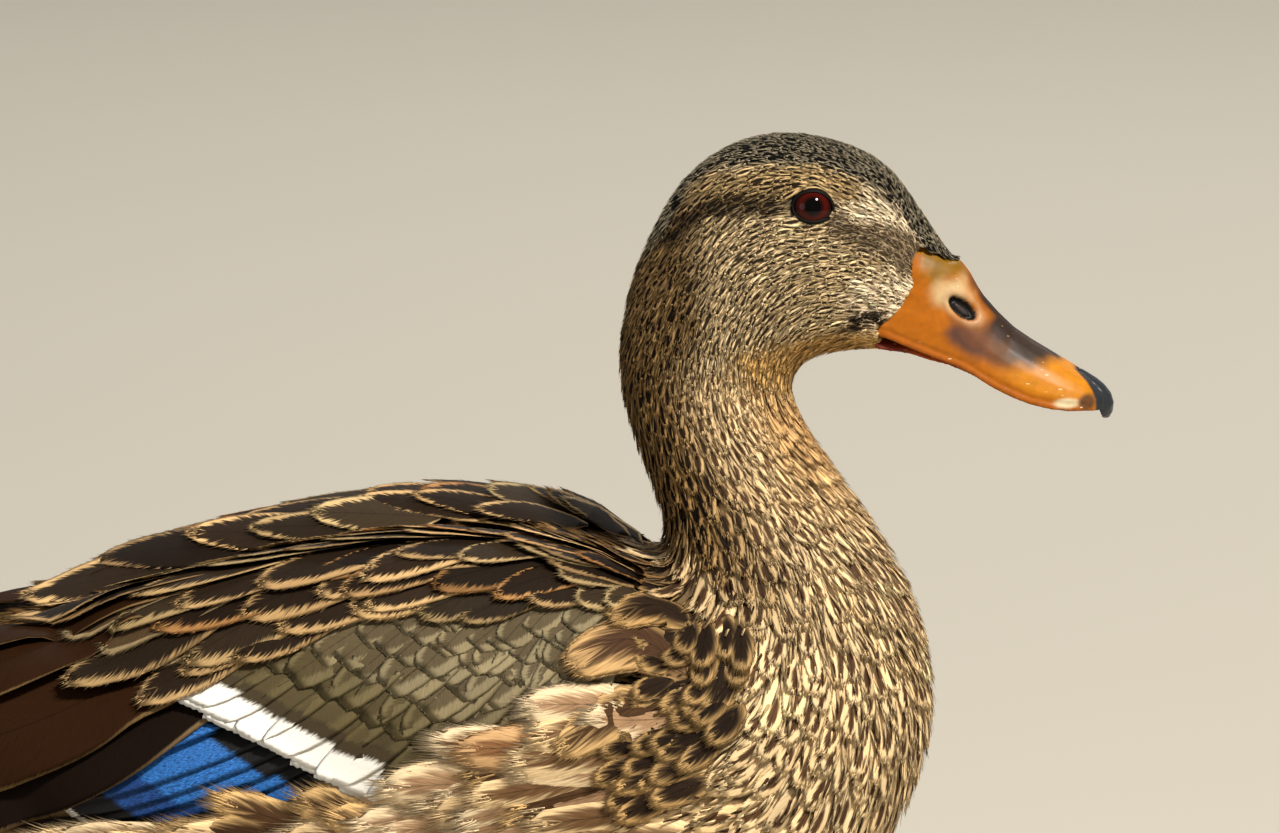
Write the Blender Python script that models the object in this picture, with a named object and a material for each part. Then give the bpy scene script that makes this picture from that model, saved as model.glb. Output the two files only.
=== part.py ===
"""A life-size standing mallard hen, head raised, as a museum model.

+X is forward (the bill), +Y is the bird's left, +Z is up, and z = 0 is the floor
under the feet. The flesh is one smooth loft of sections from the tail coverts to
the forehead, parted into trunk, neck and head. The folded wings are shells that
lie on that loft, the tail is a fan in a slot between the tail coverts, and the
feet stand flat on the floor.
"""

import math
from collections import namedtuple

import bmesh
import bpy
import numpy as np
from mathutils import Matrix, Vector

MM = 0.001
GAP = 0.3  # clear space between neighbouring pieces

# All sizes below are millimetres.
EYE_RADIUS = 5.5
EYE_CENTRE = (130.1, 12.0, 235.8)
EYE_CLEARANCE = 0.35
HALF_STANCE = 29.0  # the legs' distance from the middle
TAIL_ROOT_X, TAIL_TIP_X = -118.0, -201.0
TAIL_ROOT_Z, TAIL_DROP = 112.5, 6.5  # height at the root, and how far the tip hangs below it
TAIL_HALF_WIDTHS = (15.0, 34.0)  # at the root and near the tip
TAIL_HALF_THICKNESSES = (2.6, 0.9)
TAIL_ROOF = 5.0  # how far the outer feathers lie below the middle ones
TAIL_CORNER = 24.0  # how much shorter the outer feathers are
TAIL_SCALLOP = 3.0
TAIL_FEATHERS = 9
TAIL_ROWS = 6
RING_SIDES = 24
HEAD_SIDES = 24

# A cross-section of the bird: its uppermost point, its lowest point, half its
# width, how square it is (2 is an ellipse), and how far the widest place lies
# towards the back, as a share of the depth.
Section = namedtuple("Section", "name back_x back_z front_x front_z half_width squareness lift")

BODY = [
    Section("tail coverts", -154, 112.5, -163, 103.5, 12, 2.0, 0.00),
    Section("tail root", -136, 116.5, -143, 94.5, 22, 2.1, 0.00),
    Section("rump", -112, 121.5, -114, 81.5, 34, 2.1, 0.02),
    Section("vent", -80, 130.0, -78, 66.0, 48, 2.2, 0.03),
    Section("loin", -44, 139.5, -38, 56.0, 57, 2.3, 0.03),
    Section("mid back", -5, 148.5, 2, 51.5, 61, 2.3, 0.03),
    Section("saddle", 35, 156.0, 42, 50.0, 62, 2.3, 0.03),
    Section("shoulders", 64, 157.0, 80, 51.5, 60, 2.3, 0.03),
    Section("crop", 82, 154.5, 113, 58.0, 56.5, 2.2, 0.02),
    Section("low breast", 90.5, 153.2, 136, 67.5, 52, 2.2, 0.00),
    Section("breast", 93.8, 153.2, 150, 84.5, 47, 2.1, 0.00),
    Section("breast bone", 95.2, 154.6, 157.6, 102.0, 42, 2.1, 0.00),
    Section("high breast", 95.4, 157.2, 159.7, 118.5, 36.5, 2.1, 0.00),
    Section("neck root", 94.6, 161.0, 156.0, 138.0, 30.5, 2.0, 0.00),
    Section("low neck", 93.2, 165.5, 149.6, 152.0, 26, 2.0, 0.00),
    Section("neck", 91.2, 171.0, 141.2, 164.8, 22.5, 2.0, 0.00),
    Section("mid neck", 88.8, 178.0, 132.6, 177.0, 20, 2.0, 0.00),
    Section("high neck", 86.8, 184.5, 127.8, 184.6, 18.8, 2.0, 0.00),
    Section("throat", 85.2, 192.5, 126.0, 190.6, 18.2, 2.0, 0.00),
    Section("nape", 85.2, 202.5, 126.3, 193.4, 18.0, 2.0, 0.00),
    Section("occiput", 87.4, 215.0, 127.4, 195.6, 18.0, 2.0, 0.00),
    Section("hind crown", 92.0, 227.0, 129.2, 197.3, 18.0, 2.0, 0.00),
    Section("ear", 99.4, 240.0, 131.6, 198.5, 18.0, 2.1, -0.02),
    Section("cheek", 110.4, 248.8, 134.6, 199.4, 17.8, 2.1, -0.03),
    Section("crown", 124.0, 252.0, 138.2, 200.0, 17.2, 2.1, -0.04),
    Section("brow", 138.8, 249.2, 142.4, 200.5, 15.4, 2.2, -0.06),
    Section("lore", 148.8, 243.2, 147.0, 200.7, 12.0, 2.4, -0.08),
    Section("forehead", 155.6, 233.8, 151.6, 201.0, 9.4, 2.3, -0.08),
    Section("bill root", 161.2, 225.4, 158.0, 203.0, 7.8, 2.1, -0.04),
    Section("forehead tip", 165.6, 219.2, 163.4, 207.0, 6.0, 2.0, 0.00),
]
NECK_START, HEAD_START = 13.0, 18.0  # the cuts, as places in BODY
# Behind the loin the folded wings keep wider than the rump under them.
WING_REAR = [
    Section("wing tips", -158, 117.0, -166, 98.0, 19, 2.1, 0.00),
    Section("long primaries", -136, 120.0, -143, 88.0, 29.5, 2.1, 0.02),
    Section("over rump", -112, 124.5, -114, 80.0, 40, 2.2, 0.03),
    Section("over vent", -80, 131.5, -78, 65.5, 50.5, 2.2, 0.03),
    Section("over loin", -44, 140.0, -38, 56.0, 58, 2.3, 0.03),
]
CARRIER = WING_REAR + BODY[5:13]

# Bill sections: top of the ridge, cutting edge, half width, squareness.
BillSection = namedtuple("BillSection", "top_x top_z edge_x edge_z half_width squareness")
UPPER_BILL = [
    BillSection(150.0, 227.5, 143.0, 206.5, 9.6, 2.6),
    BillSection(158.5, 224.0, 149.8, 203.4, 9.5, 2.5),
    BillSection(165.2, 219.8, 157.5, 200.2, 9.4, 2.2),
    BillSection(171.4, 212.2, 165.2, 197.2, 9.5, 1.9),
    BillSection(177.8, 205.6, 173.0, 192.4, 10.0, 1.9),
    BillSection(184.8, 201.0, 180.8, 189.0, 10.8, 2.1),
    BillSection(191.0, 197.0, 188.2, 187.4, 11.0, 2.3),
    BillSection(195.8, 193.8, 194.0, 187.0, 9.6, 2.4),
    BillSection(199.4, 190.6, 198.4, 186.6, 6.0, 2.2),
]
LOWER_BILL = [  # top, underside, half width, squareness
    BillSection(144.0, 206.6, 142.6, 202.6, 8.2, 2.2),
    BillSection(151.4, 204.0, 150.0, 201.4, 8.2, 2.2),
    BillSection(158.6, 201.0, 157.4, 199.0, 8.0, 2.3),
    BillSection(166.0, 198.2, 164.8, 196.8, 7.8, 2.4),
    BillSection(173.6, 194.0, 172.6, 192.6, 7.6, 2.5),
    BillSection(181.0, 190.5, 180.4, 189.3, 7.4, 2.5),
    BillSection(188.0, 188.7, 187.6, 187.7, 6.6, 2.5),
]
NAIL = [
    BillSection(193.0, 196.0, 192.6, 193.4, 1.6, 2.2),
    BillSection(195.9, 194.3, 194.8, 190.8, 3.2, 2.3),
    BillSection(198.8, 192.2, 196.9, 188.0, 4.1, 2.4),
    BillSection(200.9, 189.4, 198.0, 186.0, 4.2, 2.4),
    BillSection(201.4, 186.3, 198.4, 184.7, 3.4, 2.2),
    BillSection(200.3, 183.9, 198.8, 184.0, 1.8, 2.0),
]
# The line, seen from the side, where the face feathers give way to the bill.
FEATHER_LINE = [
    (172.0, 223.2), (164.2, 221.0), (154.8, 226.6), (153.8, 220.5), (154.6, 216.6), (152.2, 212.2),
    (149.4, 209.0), (145.8, 207.8), (146.4, 204.8), (148.2, 201.6), (149.0, 170.0),
]
BILL_CUTTER_X = 215.0  # beyond the bill's tip
FACE_CUTTER_HALF_WIDTH = 30.0

# Wing panels: the upper edge and the lower edge, both from front to back, and the
# thickness at the rim and in the middle. A lower edge is (x, z), seen from the side.
# So is an upper edge, but that of a panel on the back is (x, y), seen from above.
Panel = namedtuple("Panel", "name on_back upper lower rim middle")
PANELS = [
    Panel(
        "scapulars", True,
        [(91, 17), (64, 14), (36, 12), (8, 11), (-22, 10.5), (-52, 11)],
        [(90, 141.0), (70, 144.5), (40, 143.0), (12, 138.8), (-10, 135.6), (-27, 133.2)],
        2.4, 9.5,
    ),
    Panel(
        "coverts", False,
        [(89, 139.6), (70, 143.6), (40, 142.0), (10, 137.4), (-8, 134.6), (-25, 132.2)],
        [(84, 114.0), (72, 106.6), (62, 102.6), (52, 99.8), (46, 98.4), (40, 97.6)],
        1.8, 5.0,
    ),
    Panel(
        "secondaries", False,
        [(-26.4, 131.6), (-31, 128.6), (-37, 125.6), (-44, 121.6), (-52, 117.2), (-60, 112.6)],
        [(39, 97.0), (31, 93.8), (20, 91.0), (4, 88.6), (-14, 87.4), (-32, 87.6)],
        1.4, 3.4,
    ),
    Panel(
        "tertials", True,
        [(-55, 11), (-66, 9), (-78, 8), (-92, 10), (-106, 16), (-118, 25)],
        [(-30.5, 130.8), (-44, 122.6), (-61, 112.6), (-80, 109.2), (-100, 109.2), (-118, 112.6)],
        1.4, 3.6,
    ),
    Panel(
        "primaries", False,
        [(-61.6, 111.6), (-80, 108.4), (-100, 108.4), (-119, 111.4), (-136, 115.0), (-152, 115.0)],
        [(-33.4, 87.2), (-56, 86.2), (-80, 89.4), (-104, 95.4), (-130, 105.4), (-153, 113.4)],
        1.0, 2.6,
    ),
]
PANEL_STEPS_ALONG, PANEL_STEPS_ACROSS = 10, 4
PANEL_FLOAT = 0.6  # the shells' inner face above the body

TOES = [  # yaw in degrees from straight ahead (outwards positive), length, root radius
    ("inner", -24.0, 37.0, 2.5),
    ("middle", 2.0, 52.0, 2.9),
    ("outer", 26.0, 46.0, 2.6),
]
TOE_STEPS = 7
TOE_ROOT = (12.0, 3.4)  # (x, z), as are the ankle's
ANKLE = (-2.0, 41.0)
HEEL_BEND = [(-2.2, 43.4), (-1.4, 45.6), (0.2, 47.4), (2.2, 48.8)]  # forward to the thigh
SHANK_RADIUS = 3.5
HEEL_RADIUS = 4.6
THIGH_TOP = (20.0, 76.0)
THIGH_RADII = (5.4, 18.4)  # at the heel and in the flank
THIGH_CLEARANCE = 1.6  # from the heel's end, along x and z
HIND_TOE = [  # back from the toes' root, inwards from the leg's line, height, radius, flatness
    (1, 0, 5.2, 2.2, 1.0), (5, 1.2, 4.0, 2.0, 0.9), (9, 2.4, 1.9, 1.7, 0.8), (12, 3.2, 1.6, 1.3, 0.8),
]
HIND_CLAW_YAW = 195.0
WEB_START = 3.0
WEB_THICKNESS = 1.0
WEB_SPANS, WEB_ROWS = 6, 4  # steps across and along each web
CLAW_LENGTH = 5.0
CLAW_RISE, CLAW_HOOK = 0.5, 0.9  # the root above the toe's middle, and the tip's drop
HIND_CLAW_LENGTH = 3.2

COLOURS = {  # base colour, roughness
    "plumage": ((0.23, 0.16, 0.09), 0.85),
    "wing": ((0.16, 0.12, 0.08), 0.75),
    "speculum": ((0.03, 0.10, 0.42), 0.45),
    "bill": ((0.75, 0.27, 0.03), 0.4),
    "nail": ((0.02, 0.02, 0.025), 0.35),
    "eye": ((0.03, 0.008, 0.004), 0.08),
    "leg": ((0.80, 0.22, 0.03), 0.5),
    "claw": ((0.03, 0.025, 0.02), 0.45),
}


def clear_scene():
    for obj in list(bpy.data.objects):
        bpy.data.objects.remove(obj, do_unlink=True)


def new_collection(name):
    collection = bpy.data.collections.new(name)
    bpy.context.scene.collection.children.link(collection)
    return collection


def new_material(name, kind):
    colour, roughness = COLOURS[kind]
    material = bpy.data.materials.new(name)
    material.use_nodes = True
    shader = material.node_tree.nodes["Principled BSDF"]
    shader.inputs["Base Color"].default_value = (*colour, 1.0)
    shader.inputs["Roughness"].default_value = roughness
    shader.inputs["Metallic"].default_value = 0.0
    return material


def spline_rows(rows, places):
    """The rows of numbers at fractional places, on a smooth curve through them all."""
    rows = np.array(rows, float)
    last = len(rows) - 1
    found = []
    for place in places:
        i = min(int(place), last - 1)
        t = place - i
        before, start = rows[max(i - 1, 0)], rows[i]
        end, after = rows[i + 1], rows[min(i + 2, last)]
        rise, fall = (end - before) / 2, (after - start) / 2
        found.append(
            (2 * t**3 - 3 * t**2 + 1) * start + (t**3 - 2 * t**2 + t) * rise
            + (3 * t**2 - 2 * t**3) * end + (t**3 - t**2) * fall
        )
    return np.array(found)


def numbers_of(sections):
    return [list(section[1:]) for section in sections]


def section_point(row, angle):
    """A point of one body section. Angle 0 is the back, pi is the belly, and the
    angles between are the bird's left side."""
    back_x, back_z, front_x, front_z, half_width, squareness, lift = row
    power = 2 / squareness
    across = math.copysign(abs(math.sin(angle)) ** power, math.sin(angle))
    down = math.copysign(abs(math.cos(angle)) ** power, math.cos(angle))
    depth = (1 - down) / 2 - lift * math.sin(angle) ** 2
    return np.array([
        back_x + depth * (front_x - back_x),
        half_width * across,
        back_z + depth * (front_z - back_z),
    ])


def section_normal(rows, place, angle):
    """The outward direction of the body's surface."""
    step = 0.02
    place = min(max(place, step), len(rows) - 1 - step)
    before, after = spline_rows(rows, [place - step, place + step])
    along = section_point(after, angle) - section_point(before, angle)
    row = spline_rows(rows, [place])[0]
    round_it = section_point(row, angle + step) - section_point(row, angle - step)
    normal = np.cross(along, round_it)
    return normal / np.linalg.norm(normal)


def body_ring(rows, place, sides, grow=0.0):
    row = spline_rows(rows, [place])[0]
    ring = []
    for i in range(sides):
        angle = 2 * math.pi * i / sides
        point = section_point(row, angle)
        if grow:
            point = point + grow * section_normal(rows, place, angle)
        ring.append(point)
    return ring


def ring_axis(ring):
    """The direction across a ring's plane, towards the head."""
    back, side, belly = ring[0], ring[len(ring) // 4], ring[len(ring) // 2]
    axis = np.cross(side - back, belly - back)
    return axis / np.linalg.norm(axis)


def add_object(name, bm, material, collection):
    bmesh.ops.recalc_face_normals(bm, faces=bm.faces)
    mesh = bpy.data.meshes.new(name)
    bm.to_mesh(mesh)
    bm.free()
    mesh.shade_smooth()
    obj = bpy.data.objects.new(name, mesh)
    collection.objects.link(obj)
    if material:
        mesh.materials.append(material)
    return obj


def loft(name, rings, material, collection):
    """A closed solid through rings of equal count."""
    bm = bmesh.new()
    count = len(rings[0])
    rows = [[bm.verts.new(Vector(point) * MM) for point in ring] for ring in rings]
    for first, second in zip(rows, rows[1:]):
        for i in range(count):
            j = (i + 1) % count
            bm.faces.new((first[i], first[j], second[j], second[i]))
    bm.faces.new(rows[0])
    bm.faces.new(rows[-1])
    return add_object(name, bm, material, collection)


def slab(name, outer, inner, material, collection):
    """A closed plate between two grids of points with the same rows and columns."""
    bm = bmesh.new()
    top = [[bm.verts.new(Vector(point) * MM) for point in row] for row in outer]
    under = [[bm.verts.new(Vector(point) * MM) for point in row] for row in inner]
    rows, columns = len(top), len(top[0])
    for i in range(rows - 1):
        for j in range(columns - 1):
            for grid in (top, under):
                bm.faces.new((grid[i][j], grid[i][j + 1], grid[i + 1][j + 1], grid[i + 1][j]))
    rim = [(i, 0) for i in range(rows)]
    rim += [(rows - 1, j) for j in range(1, columns)]
    rim += [(i, columns - 1) for i in range(rows - 2, -1, -1)]
    rim += [(0, j) for j in range(columns - 2, 0, -1)]
    for (i, j), (k, m) in zip(rim, rim[1:] + rim[:1]):
        bm.faces.new((top[i][j], top[k][m], under[k][m], under[i][j]))
    return add_object(name, bm, material, collection)


def boolean(obj, operation, cutter):
    modifier = obj.modifiers.new(f"{operation.lower()} {cutter.name}", "BOOLEAN")
    modifier.operation = operation
    modifier.object = cutter
    modifier.solver = "EXACT"


def mirror_to_right(left, parts):
    """The bird's right-hand copy of a finished left-hand piece, its cuts included."""
    bpy.context.view_layer.update()
    graph = bpy.context.evaluated_depsgraph_get()
    mesh = bpy.data.meshes.new_from_object(left.evaluated_get(graph))
    mesh.transform(Matrix.Diagonal((1, -1, 1, 1)))
    mesh.flip_normals()
    name = left.name.replace("left", "right")
    mesh.name = name
    parts.objects.link(bpy.data.objects.new(name, mesh))


def hide(obj):
    obj.hide_render = True
    obj.display_type = "WIRE"


def body_loft(name, start, end, steps, sides, material, collection, lead=0.0, grow=0.0):
    rows = numbers_of(BODY)
    rings = [body_ring(rows, place, sides, grow) for place in np.linspace(start, end, steps)]
    if lead:
        axis = ring_axis(rings[0])
        middle = np.mean(rings[1], axis=0) - np.mean(rings[0], axis=0)
        rings[0] = [point + lead * axis * np.sign(axis @ middle) for point in rings[0]]
    return loft(name, rings, material, collection)


def make_trunk_and_neck(parts, tail_cutter):
    plumage = new_material("trunk plumage", "plumage")
    trunk = body_loft("trunk", 0, NECK_START, 28, RING_SIDES, plumage, parts)
    boolean(trunk, "DIFFERENCE", tail_cutter)
    neck = new_material("neck plumage", "plumage")
    body_loft("neck", NECK_START, HEAD_START, 10, RING_SIDES, neck, parts, lead=GAP)


def side_outline_cutter(name, outline, cutters):
    """A closed prism across the bird from an outline seen from the side."""
    bm = bmesh.new()
    half_width = FACE_CUTTER_HALF_WIDTH * MM
    left = [bm.verts.new((x * MM, half_width, z * MM)) for x, z in outline]
    right = [bm.verts.new((x * MM, -half_width, z * MM)) for x, z in outline]
    bm.faces.new(left)
    bm.faces.new(right)
    for i in range(len(outline)):
        j = (i + 1) % len(outline)
        bm.faces.new((left[i], left[j], right[j], right[i]))
    cutter = add_object(name, bm, None, cutters)
    hide(cutter)
    return cutter


def bill_side(shift):
    """The bill's side of the feather line, moved forward by shift."""
    line = [(x + shift, z + shift * 0.3) for x, z in FEATHER_LINE]
    return line + [(BILL_CUTTER_X, FEATHER_LINE[-1][1]), (BILL_CUTTER_X, FEATHER_LINE[0][1])]


def make_head(parts, cutters):
    plumage = new_material("head plumage", "plumage")
    last = len(BODY) - 1.001
    head = body_loft("head", HEAD_START, last, 20, HEAD_SIDES, plumage, parts, lead=GAP)
    face = side_outline_cutter("face_cutter", bill_side(0.0), cutters)
    boolean(head, "DIFFERENCE", face)
    for side in (1, -1):
        socket = eye_ball(f"socket_cutter_{side}", EYE_RADIUS + EYE_CLEARANCE, side, None, cutters)
        hide(socket)
        boolean(head, "DIFFERENCE", socket)


def eye_ball(name, radius, side, material, collection):
    bm = bmesh.new()
    bmesh.ops.create_uvsphere(bm, u_segments=16, v_segments=9, radius=radius * MM)
    x, y, z = EYE_CENTRE
    bmesh.ops.translate(bm, verts=bm.verts, vec=(x * MM, side * y * MM, z * MM))
    return add_object(name, bm, material, collection)


def make_eyes(parts):
    for word, side in (("left", 1), ("right", -1)):
        eye_ball(f"eye_{word}", EYE_RADIUS, side, new_material(f"eye {word}", "eye"), parts)


def bill_ring(row, sides, grow=0.0):
    """A dome over a flat underside, or a flat loop where top and edge are close."""
    top_x, top_z, edge_x, edge_z, half_width, squareness = row
    power = 2 / squareness
    half_width = half_width + grow
    top_z, edge_z = top_z + grow, edge_z - grow
    ring = []
    for i in range(sides + 1):
        angle = math.pi * i / sides
        across = math.copysign(abs(math.cos(angle)) ** power, math.cos(angle))
        up = math.sin(angle) ** power
        x = edge_x + up * (top_x - edge_x)
        ring.append((x, half_width * across, edge_z + up * (top_z - edge_z)))
    for i in range(1, sides // 2):
        across = 1 - 4 * i / sides
        ring.append((edge_x, -half_width * across, edge_z + 0.25 * (1 - across**2)))
    return ring


def bill_loft(name, sections, steps, sides, material, collection, grow=0.0):
    rows = [list(section) for section in sections]
    places = np.linspace(0, len(rows) - 1, steps)
    rings = [bill_ring(row, sides, grow) for row in spline_rows(rows, places)]
    rings[0] = [(x - grow, y, z) for x, y, z in rings[0]]
    rings[-1] = [(x + grow, y, z) for x, y, z in rings[-1]]
    return loft(name, rings, material, collection)


def make_bill(parts, cutters):
    horn = new_material("bill upper", "bill")
    upper = bill_loft("bill_upper", UPPER_BILL, 15, 12, horn, parts)
    keep = side_outline_cutter("bill_keep", bill_side(GAP), cutters)
    boolean(upper, "INTERSECT", keep)
    nail_cut = bill_loft("nail_cutter", NAIL, 8, 8, None, cutters, grow=1.5 * GAP)
    lower_cut = bill_loft("lower_cutter", LOWER_BILL, 10, 8, None, cutters, grow=1.5 * GAP)
    for cutter in (nail_cut, lower_cut):
        hide(cutter)
        boolean(upper, "DIFFERENCE", cutter)
    lower = bill_loft("bill_lower", LOWER_BILL, 10, 8, new_material("bill lower", "bill"), parts)
    boolean(lower, "INTERSECT", keep)
    boolean(lower, "DIFFERENCE", nail_cut)
    bill_loft("bill_nail", NAIL, 8, 8, new_material("bill nail", "nail"), parts)


def halved(low, high, too_low):
    """The number between low and high where too_low turns false."""
    for _ in range(40):
        middle = (low + high) / 2
        if too_low(middle):
            low = middle
        else:
            high = middle
    return low


def carrier_place(rows, x, across, on_back):
    """Where on the wing's carrying surface a point seen from the side, (x, z), or
    from above, (x, y), lies, as (place, angle)."""

    def angle_at(row):
        if on_back:
            return halved(0.02, math.pi / 2, lambda angle: section_point(row, angle)[1] < across)
        return halved(0.05, math.pi - 0.05, lambda angle: section_point(row, angle)[2] > across)

    def behind(place):
        row = spline_rows(rows, [place])[0]
        return section_point(row, angle_at(row))[0] < x

    place = halved(0.0, len(rows) - 1.001, behind)
    return place, angle_at(spline_rows(rows, [place])[0])


def panel_grids(panel):
    """The outer and inner faces of one wing panel, as rows of points."""
    rows = numbers_of(CARRIER)
    places = np.linspace(0, len(panel.upper) - 1, PANEL_STEPS_ALONG)
    upper = spline_rows(panel.upper, places)
    lower = spline_rows(panel.lower, places)
    outer, inner = [], []
    for i, (high, low) in enumerate(zip(upper, lower)):
        start = carrier_place(rows, *high, panel.on_back)
        end = carrier_place(rows, *low, False)
        out_row, in_row = [], []
        for j in range(PANEL_STEPS_ACROSS + 1):
            share = j / PANEL_STEPS_ACROSS
            place = start[0] + share * (end[0] - start[0])
            angle = start[1] + share * (end[1] - start[1])
            point = section_point(spline_rows(rows, [place])[0], angle)
            normal = section_normal(rows, place, angle)
            along = i / (PANEL_STEPS_ALONG - 1)
            swell = math.sin(math.pi * along) ** 0.5 * math.sin(math.pi * share) ** 0.6
            thick = panel.rim + (panel.middle - panel.rim) * swell
            out_row.append(point + (PANEL_FLOAT + thick) * normal)
            in_row.append(point + PANEL_FLOAT * normal)
        outer.append(out_row)
        inner.append(in_row)
    return outer, inner


def make_left_wing(parts):
    pieces = []
    for panel in PANELS:
        kind = "speculum" if panel.name == "secondaries" else "wing"
        material = new_material(f"wing {panel.name}", kind)
        pieces.append(slab(f"wing_left_{panel.name}", *panel_grids(panel), material, parts))
    return pieces


def tail_grids(grow):
    """The tail fan: a shallow roof of stacked feathers with a scalloped end."""
    columns = TAIL_FEATHERS * 2
    narrow, wide = TAIL_HALF_WIDTHS
    thick, thin = TAIL_HALF_THICKNESSES
    outer, inner = [], []
    for i in range(TAIL_ROWS):
        along = i / (TAIL_ROWS - 1)
        top, under = [], []
        for j in range(columns + 1):
            across = 2 * j / columns - 1
            scallop = abs(math.sin(math.pi * across * TAIL_FEATHERS / 2)) ** 0.5
            end = TAIL_TIP_X + TAIL_CORNER * abs(across) ** 1.8 + TAIL_SCALLOP * (1 - scallop)
            x = TAIL_ROOT_X + along * (end - TAIL_ROOT_X) + (grow if i == 0 else 0)
            y = (narrow + (wide - narrow) * along**0.8 + grow) * across
            z = TAIL_ROOT_Z - TAIL_DROP * along - TAIL_ROOF * across**2
            half_thick = (thick + (thin - thick) * along) * (1 - 0.6 * across**2) + grow
            top.append((x, y, z + half_thick))
            under.append((x, y, z - half_thick))
        outer.append(top)
        inner.append(under)
    return outer, inner


def make_tail(parts, cutters):
    slab("tail", *tail_grids(0.0), new_material("tail", "wing"), parts)
    cutter = slab("tail_cutter", *tail_grids(GAP), None, cutters)
    hide(cutter)
    return cutter


def tube(name, path, sides, material, collection, floor=None):
    """A loft along points with a radius each: (x, y, z, radius, flatness)."""
    rings = []
    last_side = None
    points = np.array([row[:3] for row in path], float)
    for i, (x, y, z, radius, flatness) in enumerate(path):
        ahead = points[min(i + 1, len(points) - 1)] - points[max(i - 1, 0)]
        ahead /= np.linalg.norm(ahead)
        side = np.cross((0, 0, 1.0), ahead)
        side /= np.linalg.norm(side)
        if last_side is not None and side @ last_side < 0:
            side = -side  # the path has leaned past upright, and the rings don't twist
        last_side = side
        up = np.cross(ahead, side)
        ring = []
        for k in range(sides):
            angle = 2 * math.pi * k / sides
            point = np.array([x, y, z])
            point += radius * (flatness * math.cos(angle) * side + math.sin(angle) * up)
            if floor is not None:
                point[2] = max(point[2], floor)
            ring.append(point)
        rings.append(ring)
    return loft(name, rings, material, collection)


def toe_path(yaw, length, radius):
    """A toe with three joints that swell a little, tapering to its claw."""
    path = []
    root_x, root_z = TOE_ROOT
    for i in range(TOE_STEPS):
        along = i / (TOE_STEPS - 1)
        reach = along * length
        swell = 1 + 0.10 * math.cos(6 * math.pi * along)
        thick = radius * (1 - 0.45 * along) * swell
        path.append((
            root_x + reach * math.cos(math.radians(yaw)),
            HALF_STANCE + reach * math.sin(math.radians(yaw)),
            max(root_z * (1 - along * 1.6), 0.72 * thick),
            thick, 1.0,
        ))
    return path


def web_grids(first, second):
    """The web between two toes, its front edge drawn in."""
    outer, inner = [], []
    for i in range(WEB_ROWS):
        along = i / (WEB_ROWS - 1)
        top, under = [], []
        for j in range(WEB_SPANS + 1):
            across = j / WEB_SPANS
            yaw = math.radians(first[1] + across * (second[1] - first[1]))
            length = first[2] + across * (second[2] - first[2])
            hollow = 1 - 0.24 * math.sin(math.pi * across)
            reach = WEB_START + along * (0.94 * length * hollow - WEB_START)
            x, y = TOE_ROOT[0] + reach * math.cos(yaw), HALF_STANCE + reach * math.sin(yaw)
            low = 0.25 + 0.9 * math.sin(math.pi * across) * (1 - along)
            top.append((x, y, low + WEB_THICKNESS))
            under.append((x, y, low))
        outer.append(top)
        inner.append(under)
    return outer, inner


def claw(name, end, yaw, length, material, parts):
    """A short curved claw just ahead of a toe's end."""
    x, y, z, radius, _ = end
    heading = math.radians(yaw)
    path = []
    for i in range(4):
        along = i / 3
        reach = 1.5 * GAP + along * length
        path.append((
            x + reach * math.cos(heading), y + reach * math.sin(heading),
            z + CLAW_RISE - CLAW_HOOK * along**2, radius * 0.72 * (1 - 0.9 * along) + 0.12, 0.8,
        ))
    return tube(name, path, 6, material, parts, floor=0.05)


def add_to_foot(foot, piece):
    hide(piece)
    boolean(foot, "UNION", piece)


def make_left_leg(parts, cutters, body_cutter):
    leather = new_material("leg", "leg")
    horn = new_material("claws", "claw")
    x, z = TOE_ROOT
    ankle_x, ankle_z = ANKLE
    shank_path = []
    for i in range(8):
        along = i / 7
        bow = 0.6 * math.sin(math.pi * along)
        thick = SHANK_RADIUS + 1.0 * math.cos(math.pi * along) ** 4
        shank_path.append((
            x - 1 + along * (ankle_x - x + 1) - bow, HALF_STANCE,
            z + 1.2 + along * (ankle_z - z - 1.2), thick, 0.8,
        ))
    shank_path += [(heel_x, HALF_STANCE, heel_z, HEEL_RADIUS, 0.85) for heel_x, heel_z in HEEL_BEND]
    foot = tube("foot_left", shank_path, 12, leather, parts)
    pieces = [foot]
    for number, (name, yaw, length, radius) in enumerate(TOES, 1):
        path = toe_path(yaw, length, radius)
        add_to_foot(foot, tube(f"toe_{name}", path, 8, None, cutters, floor=0.0))
        pieces.append(claw(f"claw_left_{number}", path[-1], yaw, CLAW_LENGTH, horn, parts))
    for number, (first, second) in enumerate(zip(TOES, TOES[1:]), 1):
        add_to_foot(foot, slab(f"web_{number}", *web_grids(first, second), None, cutters))
    hind = [
        (x - back, HALF_STANCE - inwards, height, radius, flatness)
        for back, inwards, height, radius, flatness in HIND_TOE
    ]
    add_to_foot(foot, tube("toe_hind", hind, 8, None, cutters, floor=0.0))
    pieces.append(claw("claw_left_hind", hind[-1], HIND_CLAW_YAW, HIND_CLAW_LENGTH, horn, parts))
    pieces.append(make_left_thigh(parts, body_cutter))
    return pieces


def make_left_thigh(parts, body_cutter):
    """The feathered shin, from the ankle up into the flank."""
    start_x, start_z = (place + THIGH_CLEARANCE for place in HEEL_BEND[-1])
    top_x, top_z = THIGH_TOP
    thin, thick = THIGH_RADII
    path = []
    for i in range(7):
        along = i / 6
        path.append((
            start_x + along * (top_x - start_x), HALF_STANCE,
            start_z + along * (top_z - start_z), thin + (thick - thin) * along, 0.9,
        ))
    thigh = tube("thigh_left", path, 16, new_material("thigh", "plumage"), parts)
    boolean(thigh, "DIFFERENCE", body_cutter)
    return thigh


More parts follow.
